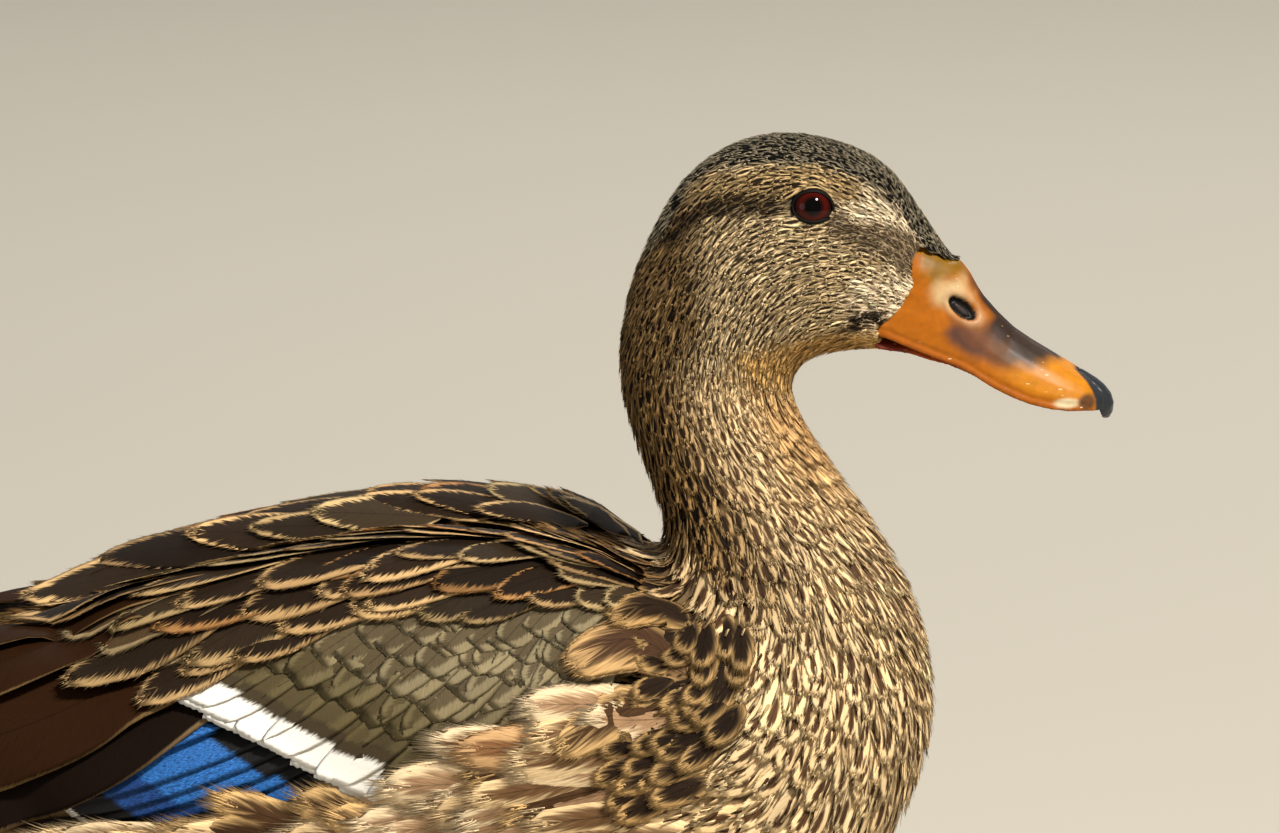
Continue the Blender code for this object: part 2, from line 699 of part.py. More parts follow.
def main():
    clear_scene()
    parts = new_collection("mallard_hen")
    cutters = new_collection("cutters")
    cutters.hide_render = True
    tail_cutter = make_tail(parts, cutters)
    make_trunk_and_neck(parts, tail_cutter)
    make_head(parts, cutters)
    make_eyes(parts)
    make_bill(parts, cutters)
    body_cutter = body_loft("body_cutter", 0, 12, 27, RING_SIDES, None, cutters, grow=GAP)
    hide(body_cutter)
    for piece in make_left_wing(parts) + make_left_leg(parts, cutters, body_cutter):
        mirror_to_right(piece, parts)


main()
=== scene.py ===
"""The looks of a life-size standing mallard hen: skin, feathers, eyes, bill and legs.

Every piece is worked out in millimetres in the frame's own axes (+X along the bill, +Y the
bird's left, +Z up) and written to its mesh in metres. The feathers grow on an unwrapped map
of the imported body, so each one knows its place along the bird and its turn round it.
"""

import functools
import math
from collections import namedtuple

import bmesh
import bpy
import numpy as np
from mathutils import Matrix, Vector, noise
from mathutils.bvhtree import BVHTree
from mathutils.kdtree import KDTree


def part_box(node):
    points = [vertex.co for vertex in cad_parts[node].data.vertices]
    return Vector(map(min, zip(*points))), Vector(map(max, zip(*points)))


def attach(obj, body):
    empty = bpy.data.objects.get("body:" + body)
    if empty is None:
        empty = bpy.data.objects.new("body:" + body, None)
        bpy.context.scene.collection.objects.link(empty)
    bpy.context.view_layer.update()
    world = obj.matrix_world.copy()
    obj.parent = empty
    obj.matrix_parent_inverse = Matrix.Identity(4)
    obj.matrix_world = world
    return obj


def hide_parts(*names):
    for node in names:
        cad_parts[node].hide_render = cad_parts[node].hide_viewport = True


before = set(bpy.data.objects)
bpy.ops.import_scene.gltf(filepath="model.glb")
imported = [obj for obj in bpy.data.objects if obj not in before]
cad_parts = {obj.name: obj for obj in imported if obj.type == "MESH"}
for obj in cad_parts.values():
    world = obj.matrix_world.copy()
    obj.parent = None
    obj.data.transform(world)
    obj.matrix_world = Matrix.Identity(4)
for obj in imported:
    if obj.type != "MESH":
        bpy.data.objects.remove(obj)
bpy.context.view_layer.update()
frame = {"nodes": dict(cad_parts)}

bl_info = {
    "name": "Mallard hen",
    "version": (1, 0, 0),
    "blender": (4, 5, 0),
    "location": "View3D > Sidebar > Mallard hen",
    "description": "Dresses the packed body of a mallard hen in skin, feathers, bill and legs",
    "category": "Add Mesh",
}

MM = 0.001
SIDES = {"left": 1, "right": -1}

# ---- the body's sections

# A section of the body seen from the side: its point on the back, its point on the belly
# and half its width. The feathers that root there: their length and width on the back and
# on the belly. All are millimetres.
Station = namedtuple(
    "Station",
    "name back_x back_z belly_x belly_z half_width long_back long_belly wide_back wide_belly",
    defaults=(0, 0, 0, 0),
)
STATIONS = [
    Station("tail coverts", -154, 112.5, -163, 103.5, 12, 22, 24, 12, 12),
    Station("tail root", -136, 116.5, -143, 94.5, 22, 24, 24, 12, 12),
    Station("rump", -112, 121.5, -114, 81.5, 34, 26, 24, 12, 12),
    Station("vent", -80, 130.0, -78, 66.0, 48, 24, 24, 12, 12),
    Station("loin", -44, 139.5, -38, 56.0, 57, 22, 24, 11, 12),
    Station("mid back", -5, 148.5, 2, 51.5, 61, 20, 24, 10, 12),
    Station("saddle", 35, 156.0, 42, 50.0, 62, 19, 24, 9.5, 12),
    Station("shoulders", 64, 157.0, 80, 51.5, 60, 17, 23, 8.5, 11),
    Station("crop", 82, 154.5, 113, 58.0, 56.5, 16, 19, 7.4, 9.4),
    Station("low breast", 90.5, 153.2, 136, 67.5, 52, 15, 17, 6.8, 8.4),
    Station("breast", 93.8, 153.2, 150, 84.5, 47, 14, 16, 6.0, 7.4),
    Station("breast bone", 95.2, 154.6, 157.6, 102.0, 42, 13.5, 15, 5.6, 6.8),
    Station("high breast", 95.4, 157.2, 159.7, 118.5, 36.5, 13, 14.4, 5.2, 6.2),
    Station("neck root", 94.6, 161.0, 156.0, 138.0, 30.5, 12, 13.6, 4.9, 5.6),
    Station("low neck", 93.2, 165.5, 149.6, 152.0, 26, 11, 12.4, 4.5, 4.8),
    Station("neck", 91.2, 171.0, 141.2, 164.8, 22.5, 10, 10.5, 4.2, 4.2),
    Station("mid neck", 88.8, 178.0, 132.6, 177.0, 20, 9.4, 9, 3.7, 3.4),
    Station("high neck", 86.8, 184.5, 127.8, 184.6, 18.8, 8.8, 8, 3.1, 2.7),
    Station("throat", 85.2, 192.5, 126.0, 190.6, 18.2, 8.4, 7, 3, 2.5),
    Station("nape", 85.2, 202.5, 126.3, 193.4, 18.0, 8.2, 6.6, 2.9, 2.4),
    Station("occiput", 87.4, 215.0, 127.4, 195.6, 18.0, 8, 6.6, 2.8, 2.4),
    Station("hind crown", 92.0, 227.0, 129.2, 197.3, 18.0, 7.2, 6.6, 2.5, 2.4),
    Station("ear", 99.4, 240.0, 131.6, 198.5, 18.0, 6.4, 6.6, 2.3, 2.4),
    Station("cheek", 110.4, 248.8, 134.6, 199.4, 17.8, 5.6, 6.4, 2.1, 2.4),
    Station("crown", 124.0, 252.0, 138.2, 200.0, 17.2, 5, 6, 2, 2.3),
    Station("brow", 138.8, 249.2, 142.4, 200.5, 15.4, 4.6, 5.4, 1.9, 2.2),
    Station("lore", 148.8, 243.2, 147.0, 200.7, 12.0, 4, 4.6, 1.8, 2),
    Station("forehead", 155.6, 233.8, 151.6, 201.0, 9.4, 3.4, 3.8, 1.6, 1.8),
    Station("bill root", 161.2, 225.4, 158.0, 203.0, 7.8, 3, 3.2, 1.5, 1.5),
    Station("forehead tip", 165.6, 219.2, 163.4, 207.0, 6.0, 2.6, 2.8, 1.4, 1.4),
]
# Behind the loin the folded wings are wider than the rump between them.
WING_REAR = [
    Station("wing tips", -158, 117.0, -166, 98.0, 19),
    Station("long primaries", -136, 120.0, -143, 88.0, 29.5),
    Station("over rump", -112, 124.5, -114, 80.0, 40),
    Station("over vent", -80, 131.5, -78, 65.5, 50.5),
    Station("over loin", -44, 140.0, -38, 56.0, 58),
]
WING_STATIONS = WING_REAR + STATIONS[5:13]

EYE_RADIUS = 5.5
EYE_OPENING = (4.45, 3.3)  # half the lids' opening, along and up
FLESH = ["trunk", "neck", "head", "thigh_left", "thigh_right"]  # the skin stands for these
# Where the face feathers give way to the bill, seen from the side.
FEATHER_LINE = [
    (172.0, 223.2), (162.6, 221.6), (154.8, 226.6), (153.8, 220.5), (154.6, 216.6), (152.2, 212.2),
    (149.4, 209.0), (145.8, 207.8), (146.4, 204.8), (148.2, 201.6), (149.0, 170.0),
]
BILL_SIDE = FEATHER_LINE + [(215.0, 170.0), (215.0, 223.2)]


def node_centre(name):
    low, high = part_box(name)
    return np.array((low + high) / 2) / MM


# ---- small sums


def rise(value, start, end):
    """0 up to start, 1 from end on, and a smooth slope between; end may be below start."""
    share = np.clip((value - start) / (end - start), 0, 1)
    return share * share * (3 - 2 * share)


def spline(rows, places):
    """The rows of numbers at fractional places, on a smooth curve through them all."""
    rows = np.asarray(rows, float)
    places = np.clip(np.asarray(places, float), 0, len(rows) - 1)
    i = np.minimum(places.astype(int), len(rows) - 2)
    t = (places - i)[..., None]
    before, start = rows[np.maximum(i - 1, 0)], rows[i]
    end, after = rows[i + 1], rows[np.minimum(i + 2, len(rows) - 1)]
    leave, arrive = (end - before) / 2, (after - start) / 2
    return (
        (2 * t**3 - 3 * t**2 + 1) * start + (t**3 - 2 * t**2 + t) * leave
        + (3 * t**2 - 2 * t**3) * end + (t**3 - t**2) * arrive
    )


def along_line(line, shares):
    """Points at shares 0 to 1 of a smooth line through the given points."""
    return spline(line, np.asarray(shares, float) * (len(line) - 1))


def unit(vectors):
    return vectors / np.maximum(np.linalg.norm(vectors, axis=-1, keepdims=True), 1e-9)


def line_distance(x, z, line):
    """How far points seen from the side are from an open line."""
    best = np.full(np.shape(x), np.inf)
    for (ax, az), (bx, bz) in zip(line, line[1:]):
        dx, dz = bx - ax, bz - az
        share = np.clip(((x - ax) * dx + (z - az) * dz) / (dx * dx + dz * dz), 0, 1)
        best = np.minimum(best, np.hypot(x - ax - share * dx, z - az - share * dz))
    return best


def inside_outline(x, z, outline):
    """Whether points seen from the side lie inside a closed outline."""
    found = np.zeros(np.shape(x), bool)
    for (ax, az), (bx, bz) in zip(outline, outline[1:] + outline[:1]):
        crosses = (az > z) != (bz > z)
        run = (bx - ax) / (bz - az) if bz != az else 0.0
        found ^= crosses & (x < ax + run * (z - az))
    return found


def depth_inside(x, z, outline):
    """How far points seen from the side are inside a closed outline; outside it is below 0."""
    gap = line_distance(x, z, outline + outline[:1])
    return np.where(inside_outline(x, z, outline), gap, -gap)


def out_from(x, z, centre, radii):
    """How far points seen from the side are from the centre of a spot, in its own radii."""
    return np.hypot((x - centre[0]) / radii[0], (z - centre[1]) / radii[1])


def blurred(values, spread, axis, wrap):
    """Values smoothed along an axis, joined end to end where wrap is set."""
    reach = int(3 * spread)
    offsets = np.arange(-reach, reach + 1)
    weights = np.exp(-0.5 * (offsets / spread) ** 2)
    weights /= weights.sum()
    padded = np.pad(
        values, [(reach, reach) if a == axis else (0, 0) for a in range(values.ndim)],
        mode="wrap" if wrap else "edge",
    )
    count = values.shape[axis]
    parts = [w * np.take(padded, np.arange(i, i + count), axis) for i, w in enumerate(weights)]
    return np.sum(parts, axis=0)


def linear(code):
    """A colour written as sRGB hex, in the linear values that shaders use."""
    channels = np.array([int(code[i:i + 2], 16) / 255 for i in (1, 3, 5)])
    return np.where(channels <= 0.04045, channels / 12.92, ((channels + 0.055) / 1.055) ** 2.4)


# ---- settings


def number_of(name, description, default, low, high, **kind):
    return bpy.props.FloatProperty(
        name=name, description=description, default=default, min=low, max=high, **kind
    )


def size_of(name, description, default, low, high):
    return number_of(name, description, default, low, high, unit="LENGTH", precision=5)


def power_of(name, description, default):
    return number_of(name, description, default, 0.0, 1000.0, unit="POWER")


def colour_of(name, description, code):
    return bpy.props.FloatVectorProperty(
        name=name, description=description, default=tuple(linear(code)), min=0.0, max=1.0,
        subtype="COLOR",
    )


class HenCoat(bpy.types.PropertyGroup):
    """The contour feathers of the body, neck and head."""

    length: number_of("Feather length", "As a share of the species' own", 1.0, 0.7, 1.2)
    width: number_of("Feather width", "As a share of the species' own", 1.0, 0.7, 1.2)
    depth: number_of("Coat depth", "Over the skin, as a share of the feathers' length", 0.17, 0.1, 0.3)
    least_depth: size_of("Least depth", "Of the coat over the skin", 0.0007, 0.0003, 0.002)
    wisps: number_of("Loose barbs", "As a share of their usual number", 1.0, 0.1, 1.5)


class HenWing(bpy.types.PropertyGroup):
    """The bright bands of the folded wing."""

    bar: colour_of("Bar", "Colour of the white bar", "#F4F1EA")
    bar_width: size_of("Bar width", "Width of the white bar", 0.0088, 0.004, 0.012)
    patch: colour_of("Patch", "Colour of the blue patch", "#2866B0")
    patch_width: size_of("Patch width", "Width of the blue patch", 0.023, 0.01, 0.03)


class HenTail(bpy.types.PropertyGroup):
    """The tail's fan."""

    pairs: bpy.props.IntProperty(
        name="Pairs", description="Pairs of tail feathers", default=9, min=6, max=10,
    )
    spread: size_of("Spread", "Half the width of the tail's end", 0.033, 0.02, 0.045)


class HenHead(bpy.types.PropertyGroup):
    """The colours of the eyes and the bill."""

    iris: colour_of("Iris", "Colour of the iris", "#400A03")
    lids: colour_of("Lids", "Colour of the eyelids", "#0B0806")
    bill: colour_of("Bill", "Colour of the bill's skin", "#A65C01")
    saddle: colour_of("Saddle", "Colour of the bill's dark saddle", "#161416")
    nail: colour_of("Nail", "Colour of the bill's nail", "#23272C")


class HenLegs(bpy.types.PropertyGroup):
    """The colours of the legs."""

    scales: colour_of("Scales", "Colour of the leg's scales", "#E08A3A")
    worn_scales: colour_of("Worn scales", "Colour of the leg's darker, worn scales", "#C4601C")
    claws: colour_of("Claws", "Colour of the claws", "#2A211B")


class HenStage(bpy.types.PropertyGroup):
    """The floor, the lights and the camera."""

    floor: colour_of("Floor", "Colour of the floor", "#B9B4A8")
    key: power_of("Key", "Power of the key light", 88.0)
    fill: power_of("Fill", "Power of the fill light", 6.0)
    rim: power_of("Rim", "Power of the light behind", 20.0)
    sky: number_of("Sky", "Strength of the light from all round", 0.27, 0.0, 2.0)
    distance: size_of("Camera distance", "From the camera to the middle of its view", 3.0, 1.0, 6.0)
    view_width: size_of("View width", "How much the picture shows from side to side", 0.3006, 0.1, 2.0)
    elevation: number_of(
        "Elevation", "How far above level the camera looks from", math.radians(10.5), 0.0, math.pi / 2,
        subtype="ANGLE",
    )


GROUPS = {
    "hen_coat": HenCoat, "hen_wing": HenWing, "hen_tail": HenTail, "hen_head": HenHead,
    "hen_legs": HenLegs, "hen_stage": HenStage,
}


# ---- the coat's map


def solid_tree(names):
    """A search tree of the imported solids' faces, in millimetres."""
    points, faces = [], []
    for name in names:
        mesh = frame["nodes"][name].data
        start = len(points)
        points += [vertex.co / MM for vertex in mesh.vertices]
        faces += [[start + i for i in face.vertices] for face in mesh.polygons]
    return BVHTree.FromPolygons(points, faces)


class CoatMap:
    """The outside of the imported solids, unwrapped. A point's place runs along the sections
    from tail to bill, in steps, and its turn runs round them from the back over the bird's
    left side, in steps. Fields hold a row for each place and a column for each turn."""

    REACH = 1.5  # rays start this many section radii out

    def __init__(self, sections, solids, steps, turns, blur=(2.0, 3.0)):
        """Sections: rows of centre x, y, z, the back's offset x, z, and half the width."""
        self.steps, self.turns = steps, turns
        self.stations = np.linspace(0, len(sections) - 1, steps)
        rows = spline(sections, self.stations)
        tree = solid_tree(solids)
        angles = 2 * np.pi * np.arange(turns) / turns
        up = np.stack([rows[:, 3], 0 * rows[:, 3], rows[:, 4]], axis=1)
        spoke = up[:, None] * np.cos(angles)[None, :, None]
        spoke[:, :, 1] += rows[:, 5:6] * np.sin(angles)
        centre = rows[:, None, :3]
        reach, self.solid = np.ones((steps, turns)), np.zeros((steps, turns), bool)
        for i in range(steps):
            for j in range(turns):
                start = Vector(centre[i, 0] + self.REACH * spoke[i, j])
                hit = tree.ray_cast(start, -Vector(spoke[i, j]).normalized())[0]
                if hit is not None:
                    out = (Vector(centre[i, 0]) - hit).length
                    reach[i, j] = out / np.linalg.norm(spoke[i, j])
                    self.solid[i, j] = True
        reach = np.clip(reach, 0.6, 1.35)
        self.reach = blurred(blurred(reach, blur[0], 0, False), blur[1], 1, True)
        self.points = centre + spoke * self.reach[:, :, None]
        self.per_step = np.gradient(self.points, axis=0)
        self.per_turn = (np.roll(self.points, -1, 1) - np.roll(self.points, 1, 1)) / 2
        across = np.cross(self.per_step, self.per_turn)
        self.area = np.linalg.norm(across, axis=2)
        outward = np.sign((across * spoke).sum(axis=2).mean())
        self.normals = unit(across * outward)
        self.set_lie(unit(-self.per_step))

    def set_lie(self, lie):
        """Takes the way the feathers lie, as a direction at each cell of the map."""
        lie = unit(lie - (lie * self.normals).sum(2, keepdims=True) * self.normals)
        across = np.cross(self.normals, lie)
        self.lie = lie
        e = (self.per_step**2).sum(2)
        f = (self.per_step * self.per_turn).sum(2)
        g = (self.per_turn**2).sum(2)
        flow = []
        for way in (lie, across):
            p, q = (way * self.per_step).sum(2), (way * self.per_turn).sum(2)
            det = np.maximum(e * g - f * f, 1e-6)
            flow += [(g * p - f * q) / det, (e * q - f * p) / det]
        self.flow = np.stack(flow, axis=2)

    def at(self, field, step, turn):
        """A field's values at fractional steps and turns."""
        step = np.clip(step, 0, self.steps - 1.001)
        turn = np.mod(turn, self.turns)
        i, j = step.astype(int), turn.astype(int) % self.turns
        k = (j + 1) % self.turns
        s, t = step - i, turn - np.floor(turn)
        if field.ndim == 3:
            s, t = s[..., None], t[..., None]
        low = field[i, j] * (1 - t) + field[i, k] * t
        high = field[i + 1, j] * (1 - t) + field[i + 1, k] * t
        return low * (1 - s) + high * s

    def point(self, step, turn):
        """Points of the surface, which runs straight on past its ends."""
        found = self.at(self.points, step, turn)
        beyond = step - np.clip(step, 0, self.steps - 1.001)
        return found + beyond[..., None] * self.at(self.per_step, step, turn)

    def normal(self, step, turn):
        return unit(self.at(self.normals, step, turn))

    def angle(self, turn):
        return 2 * np.pi * turn / self.turns

    def share(self, step, turn):
        """Places as shares of the whole map, along it and round it."""
        shares = np.stack([step / (self.steps - 1), np.mod(turn, self.turns) / self.turns], axis=1)
        return np.clip(shares, 0, 1)

    def trace(self, step, turn, length, count, swing):
        """Rows of steps and turns from each root along the lie, swung by an angle."""
        stride = length / (count - 1)
        steps, turns = [step], [turn]
        for _ in range(count - 1):
            flow = self.at(self.flow, step, turn)
            ahead, aside = np.cos(swing) * stride, np.sin(swing) * stride
            step = step + np.clip(flow[:, 0] * ahead + flow[:, 2] * aside, -12, 12)
            turn = turn + np.clip(flow[:, 1] * ahead + flow[:, 3] * aside, -8, 8)
            steps.append(step)
            turns.append(turn)
        return np.stack(steps, axis=1), np.stack(turns, axis=1)

    def scatter(self, per_area, rng):
        """Well-spaced roots, as steps and turns, with per_area of them in each mm2."""
        weight = self.area * per_area
        count = int(weight.sum())
        order = np.arange(count)
        first = (order * 0.7548776662 + rng.random()) % 1  # the plastic number's inverse powers
        second = (order * 0.5698402910 + rng.random()) % 1
        total = np.cumsum(weight.sum(axis=1))
        step = np.interp(first * total[-1], total, np.arange(self.steps))
        sums = np.cumsum(weight, axis=1)[np.clip(np.round(step).astype(int), 0, self.steps - 1)]
        target = second[:, None] * sums[:, -1:]
        turn = (sums < target).sum(axis=1) + rng.random(count)
        return step, turn

    def nearest(self, first, second, axes, turns):
        """The (step, turn) under a point of a flat view along the third axis. Axes names the
        view's two, and turns bounds the part of the map that faces it."""
        low, high = (int(share * self.turns / 2) for share in turns)
        flat = self.points[:, low:high][:, :, axes]
        gap = (flat[:, :, 0] - first) ** 2 + (flat[:, :, 1] - second) ** 2
        i, j = np.unravel_index(np.argmin(gap), gap.shape)
        j += low
        i = min(max(i, 1), self.steps - 2)
        a, b = self.per_step[i, j][axes], self.per_turn[i, j][axes]
        miss = np.array([first, second]) - self.points[i, j][axes]
        det = a[0] * b[1] - a[1] * b[0]
        if abs(det) < 1e-3:
            return float(i), float(j)
        step = (miss[0] * b[1] - miss[1] * b[0]) / det
        turn = (a[0] * miss[1] - a[1] * miss[0]) / det
        return i + np.clip(step, -1.5, 1.5), j + np.clip(turn, -1.5, 1.5)

    def from_side(self, line):
        """A line of (x, z) points on the bird's left side, as (step, turn) rows."""
        return np.array([self.nearest(x, z, [0, 2], (0.06, 0.86)) for x, z in line])

    def from_above(self, line):
        """A line of (x, y) points on the left half of the back, as (step, turn) rows."""
        return np.array([self.nearest(x, y, [0, 1], (0.0, 0.5)) for x, y in line])


def around(chart, line):
    """A line of (x, degrees round from the back) points as (step, turn) rows."""
    rows = []
    for x, degrees in line:
        turn = degrees / 360 * chart.turns
        along = chart.points[:, int(round(turn)) % chart.turns, 0]
        rows.append((np.interp(x, along, np.arange(chart.steps)), turn))
    return np.array(rows)


def sections_of(stations):
    rows = []
    for s in stations:
        rows.append([
            (s.back_x + s.belly_x) / 2, 0.0, (s.back_z + s.belly_z) / 2,
            (s.back_x - s.belly_x) / 2, (s.back_z - s.belly_z) / 2, s.half_width,
        ])
    return rows


def body_map():
    """The body's map for the coat's settings."""
    coat = bpy.context.scene.hen_coat
    return fitted_body(coat.length, coat.width, coat.depth, coat.least_depth / MM)


@functools.cache
def fitted_body(length, width, depth, least_depth):
    """The body's map, its feather sizes, and the lie of the coat round the eyes."""
    solids = ["trunk", "neck", "head", "eye_left", "eye_right"]
    made = CoatMap(sections_of(STATIONS), solids, 420, 144)
    sizes = spline([row[6:] for row in STATIONS], made.stations) * [length, length, width, width]
    belly = (1 - np.cos(made.angle(np.arange(made.turns)))) / 2
    made.long = sizes[:, 0:1] * (1 - belly) + sizes[:, 1:2] * belly
    made.long = np.minimum(made.long, made.points[:, :, 0] - STATIONS[0].belly_x + 12.0)
    made.wide = sizes[:, 2:3] * (1 - belly) + sizes[:, 3:4] * belly
    made.belly = np.broadcast_to(belly, made.long.shape)
    made.depth = np.maximum(depth * made.long, least_depth)
    border = line_distance(made.points[:, :, 0], made.points[:, :, 2], FEATHER_LINE)
    made.sink = made.depth * rise(border, 0.5, 5.0)
    lie = made.lie.copy()
    for side in SIDES:
        out = made.points - node_centre(f"eye_{side}")
        distance = np.maximum(np.linalg.norm(out, axis=2, keepdims=True), 0.8 * EYE_RADIUS)
        outward = out / distance
        made.sink *= rise(distance[:, :, 0], EYE_RADIUS + 0.3, EYE_RADIUS + 3.5)
        made.sink += 0.02
        push = np.minimum((0.8 * EYE_RADIUS / distance) ** 2, 0.8)
        lie += push * (lie - 2 * (lie * outward).sum(2, keepdims=True) * outward)
    made.set_lie(unit(lie))
    return made


@functools.cache
def wing_map():
    """The outside of the folded wings, with the trunk between them."""
    solids = ["trunk"] + [name for name in frame["nodes"] if name.startswith("wing_")]
    return CoatMap(sections_of(WING_STATIONS), solids, 300, 160, blur=(2.0, 2.0))


@functools.cache
def thigh_map(side):
    """The feathered shin, from the heel up into the flank."""
    low, high = (np.array(corner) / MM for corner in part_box(f"thigh_{side}"))
    y = (low[1] + high[1]) / 2
    half = (high[1] - low[1]) / 2
    top = np.array([high[0] - half, y, high[2] + 4])
    heel = np.array([low[0] + 5.6, y, low[2] + 3.4])
    rows = []
    for share in np.linspace(0, 1, 5):
        x, y, z = heel + share * (top - heel)
        radius = 5.6 + share * (half - 4.0)
        rows.append([x, y, z, -0.8 * radius, 0.5 * radius, 0.9 * radius])
    made = CoatMap(rows, [f"thigh_{side}"], 40, 36)
    made.long, made.wide, made.sink = (np.full((made.steps, made.turns), mm) for mm in (10.0, 5.0, 1.4))
    return made


# ---- the plumage's markings

# A kind of feather: its dark centre, its paler fringe, and the centre's ellipse on the vane:
# half its width as a share of the vane's, where its middle lies from root to tip, and half
# its length as a share of the vane's.
Plumage = namedtuple("Plumage", "centre fringe spot")
PLUMAGE = {
    "breast": Plumage("#4E3724", "#DFC294", (0.38, 0.66, 0.25)),
    "belly": Plumage("#8A6E4C", "#E2CEA6", (0.26, 0.76, 0.20)),
    "flank": Plumage("#74543A", "#E4C798", (0.50, 0.66, 0.28)),
    "undertail": Plumage("#5A422C", "#D8C39C", (0.36, 0.60, 0.34)),
    "back": Plumage("#1B140F", "#8F6C42", (0.80, 0.50, 0.46)),
    "neck": Plumage("#5E4630", "#E4C698", (0.46, 0.66, 0.29)),
    "nape": Plumage("#19120C", "#8E7046", (0.54, 0.66, 0.34)),
    "throat": Plumage("#A8804E", "#CCA470", (0.20, 0.60, 0.20)),
    "chin": Plumage("#94703F", "#D0A768", (0.24, 0.60, 0.24)),
    "cheek": Plumage("#3A2D20", "#E4C99C", (0.46, 0.66, 0.38)),
    "hind cheek": Plumage("#170F0A", "#94774E", (0.58, 0.68, 0.34)),
    "brow": Plumage("#261B10", "#C6A877", (0.50, 0.68, 0.38)),
    "face": Plumage("#5E4A36", "#EDD8B6", (0.36, 0.72, 0.28)),
    # The crown's fringe is partly the feathers' own pale edges and partly a painted highlight,
    # lightened to stand in for their sheen.
    "crown": Plumage("#070605", "#BEB094", (1.0, 0.58, 0.58)),
    "eye stripe": Plumage("#120D08", "#5C4A32", (0.80, 0.58, 0.44)),
    "lore": Plumage("#43362A", "#9A8668", (0.60, 0.56, 0.44)),
    "gape": Plumage("#15100B", "#4A3C2C", (0.90, 0.50, 0.50)),
    "thigh": Plumage("#5C4630", "#BFA176", (0.30, 0.60, 0.34)),
    "flank streak": Plumage("#6A4E34", "#E0C294", (0.44, 0.50, 0.48)),
    "cream flank": Plumage("#98785A", "#E0C8A2", (0.44, 0.48, 0.48)),
    "orange flank": Plumage("#805838", "#D2A878", (0.44, 0.50, 0.46)),
    "brown flank": Plumage("#46311F", "#C8A470", (0.60, 0.48, 0.47)),
    "side breast": Plumage("#20160E", "#A68658", (0.80, 0.50, 0.44)),
    "ruff": Plumage("#3E2B1D", "#B08E60", (0.74, 0.44, 0.42)),
    "scapular": Plumage("#21170E", "#AC8C60", (0.93, 0.46, 0.53)),
    "dark scapular": Plumage("#1A120B", "#8A6E4A", (0.93, 0.46, 0.52)),
    "olive scapular": Plumage("#30261A", "#9C865E", (0.91, 0.46, 0.52)),
    "rufous scapular": Plumage("#1B1109", "#9E6836", (0.90, 0.46, 0.52)),
    "lesser covert": Plumage("#534834", "#82765A", (0.66, 0.50, 0.46)),
    "covert": Plumage("#4A4029", "#62573B", (0.72, 0.45, 0.54)),
    "greater covert": Plumage("#4A3F26", "#5A4F32", (0.80, 0.45, 0.6)),
    "tertial covert": Plumage("#4E3D2A", "#94805E", (0.92, 0.44, 0.53)),
    "secondary": Plumage("#100D0B", "#100D0B", (0.9, 0.5, 0.6)),
    "tertial": Plumage("#291608", "#7C6340", (0.965, 0.47, 0.56)),
    "black tertial": Plumage("#150C07", "#7A6448", (0.975, 0.47, 0.56)),
    "primary": Plumage("#2A1D13", "#7A6242", (0.93, 0.47, 0.56)),
    "rectrix": Plumage("#44311F", "#947A50", (0.95, 0.46, 0.555)),
}
# Markings of the head and neck, seen from the side.
CROWN_EDGE = [
    (172, 215), (160, 221.6), (156.4, 226), (153.2, 230.6), (149.6, 235.8), (143.6, 241.4),
    (135, 245.2), (126, 246.4), (118, 247), (111, 246.6), (105, 244), (101, 238.5), (97, 232.5),
    (91.5, 226), (80, 214),
]
ABOVE_CROWN = CROWN_EDGE + [(60, 240), (90, 280), (180, 280)]
EYE_STRIPE = [(127, 237.6), (118.4, 238.4), (113, 239.4), (108.7, 238.6), (103.9, 236.2), (98, 231.5)]
LORE_STRIPE = [(136.6, 233.6), (140.5, 230.6), (146, 228), (151, 225.4), (154, 221.5)]
GAPE_SPOT = [(143.6, 208.4), (147.4, 209.4)]
BROW = [(108, 241.6), (118, 242.4), (131, 242.6), (141, 238.6)]
PALE_LORE = [(137, 238), (146, 234), (153, 228)]
PALE_GAPE = [(152, 214), (146, 213)]
DARK_NECK = [(99, 224), (100.5, 212)]
SHOULDER = [(101, 142), (101, 130), (99, 120)]


class Looks:
    """The colours and the dark spot of many feathers."""

    def __init__(self, count, kind):
        plumage = PLUMAGE[kind]
        self.centre = np.tile(linear(plumage.centre), (count, 1))
        self.fringe = np.tile(linear(plumage.fringe), (count, 1))
        self.spot = np.tile(plumage.spot, (count, 1)).astype(float)

    def paint(self, kind, share):
        """Turns the feathers into another kind, by a share from 0 to 1 for each."""
        plumage, share = PLUMAGE[kind], share[:, None]
        self.centre += share * (linear(plumage.centre) - self.centre)
        self.fringe += share * (linear(plumage.fringe) - self.fringe)
        self.spot += share * (np.array(plumage.spot) - self.spot)

    def vary(self, rng, shade, warmth):
        """Makes each feather a little lighter or darker, warmer or cooler than its kind."""
        count = len(self.centre)
        lighter = np.exp(shade * rng.standard_normal(count))[:, None]
        warm = warmth * rng.standard_normal(count)[:, None]
        tint = 1 + warm * np.array([0.5, 0.0, -0.8])
        self.fringe = np.clip(self.fringe * lighter * tint, 0, 0.9)
        self.centre = np.clip(self.centre * lighter, 0, 0.9)


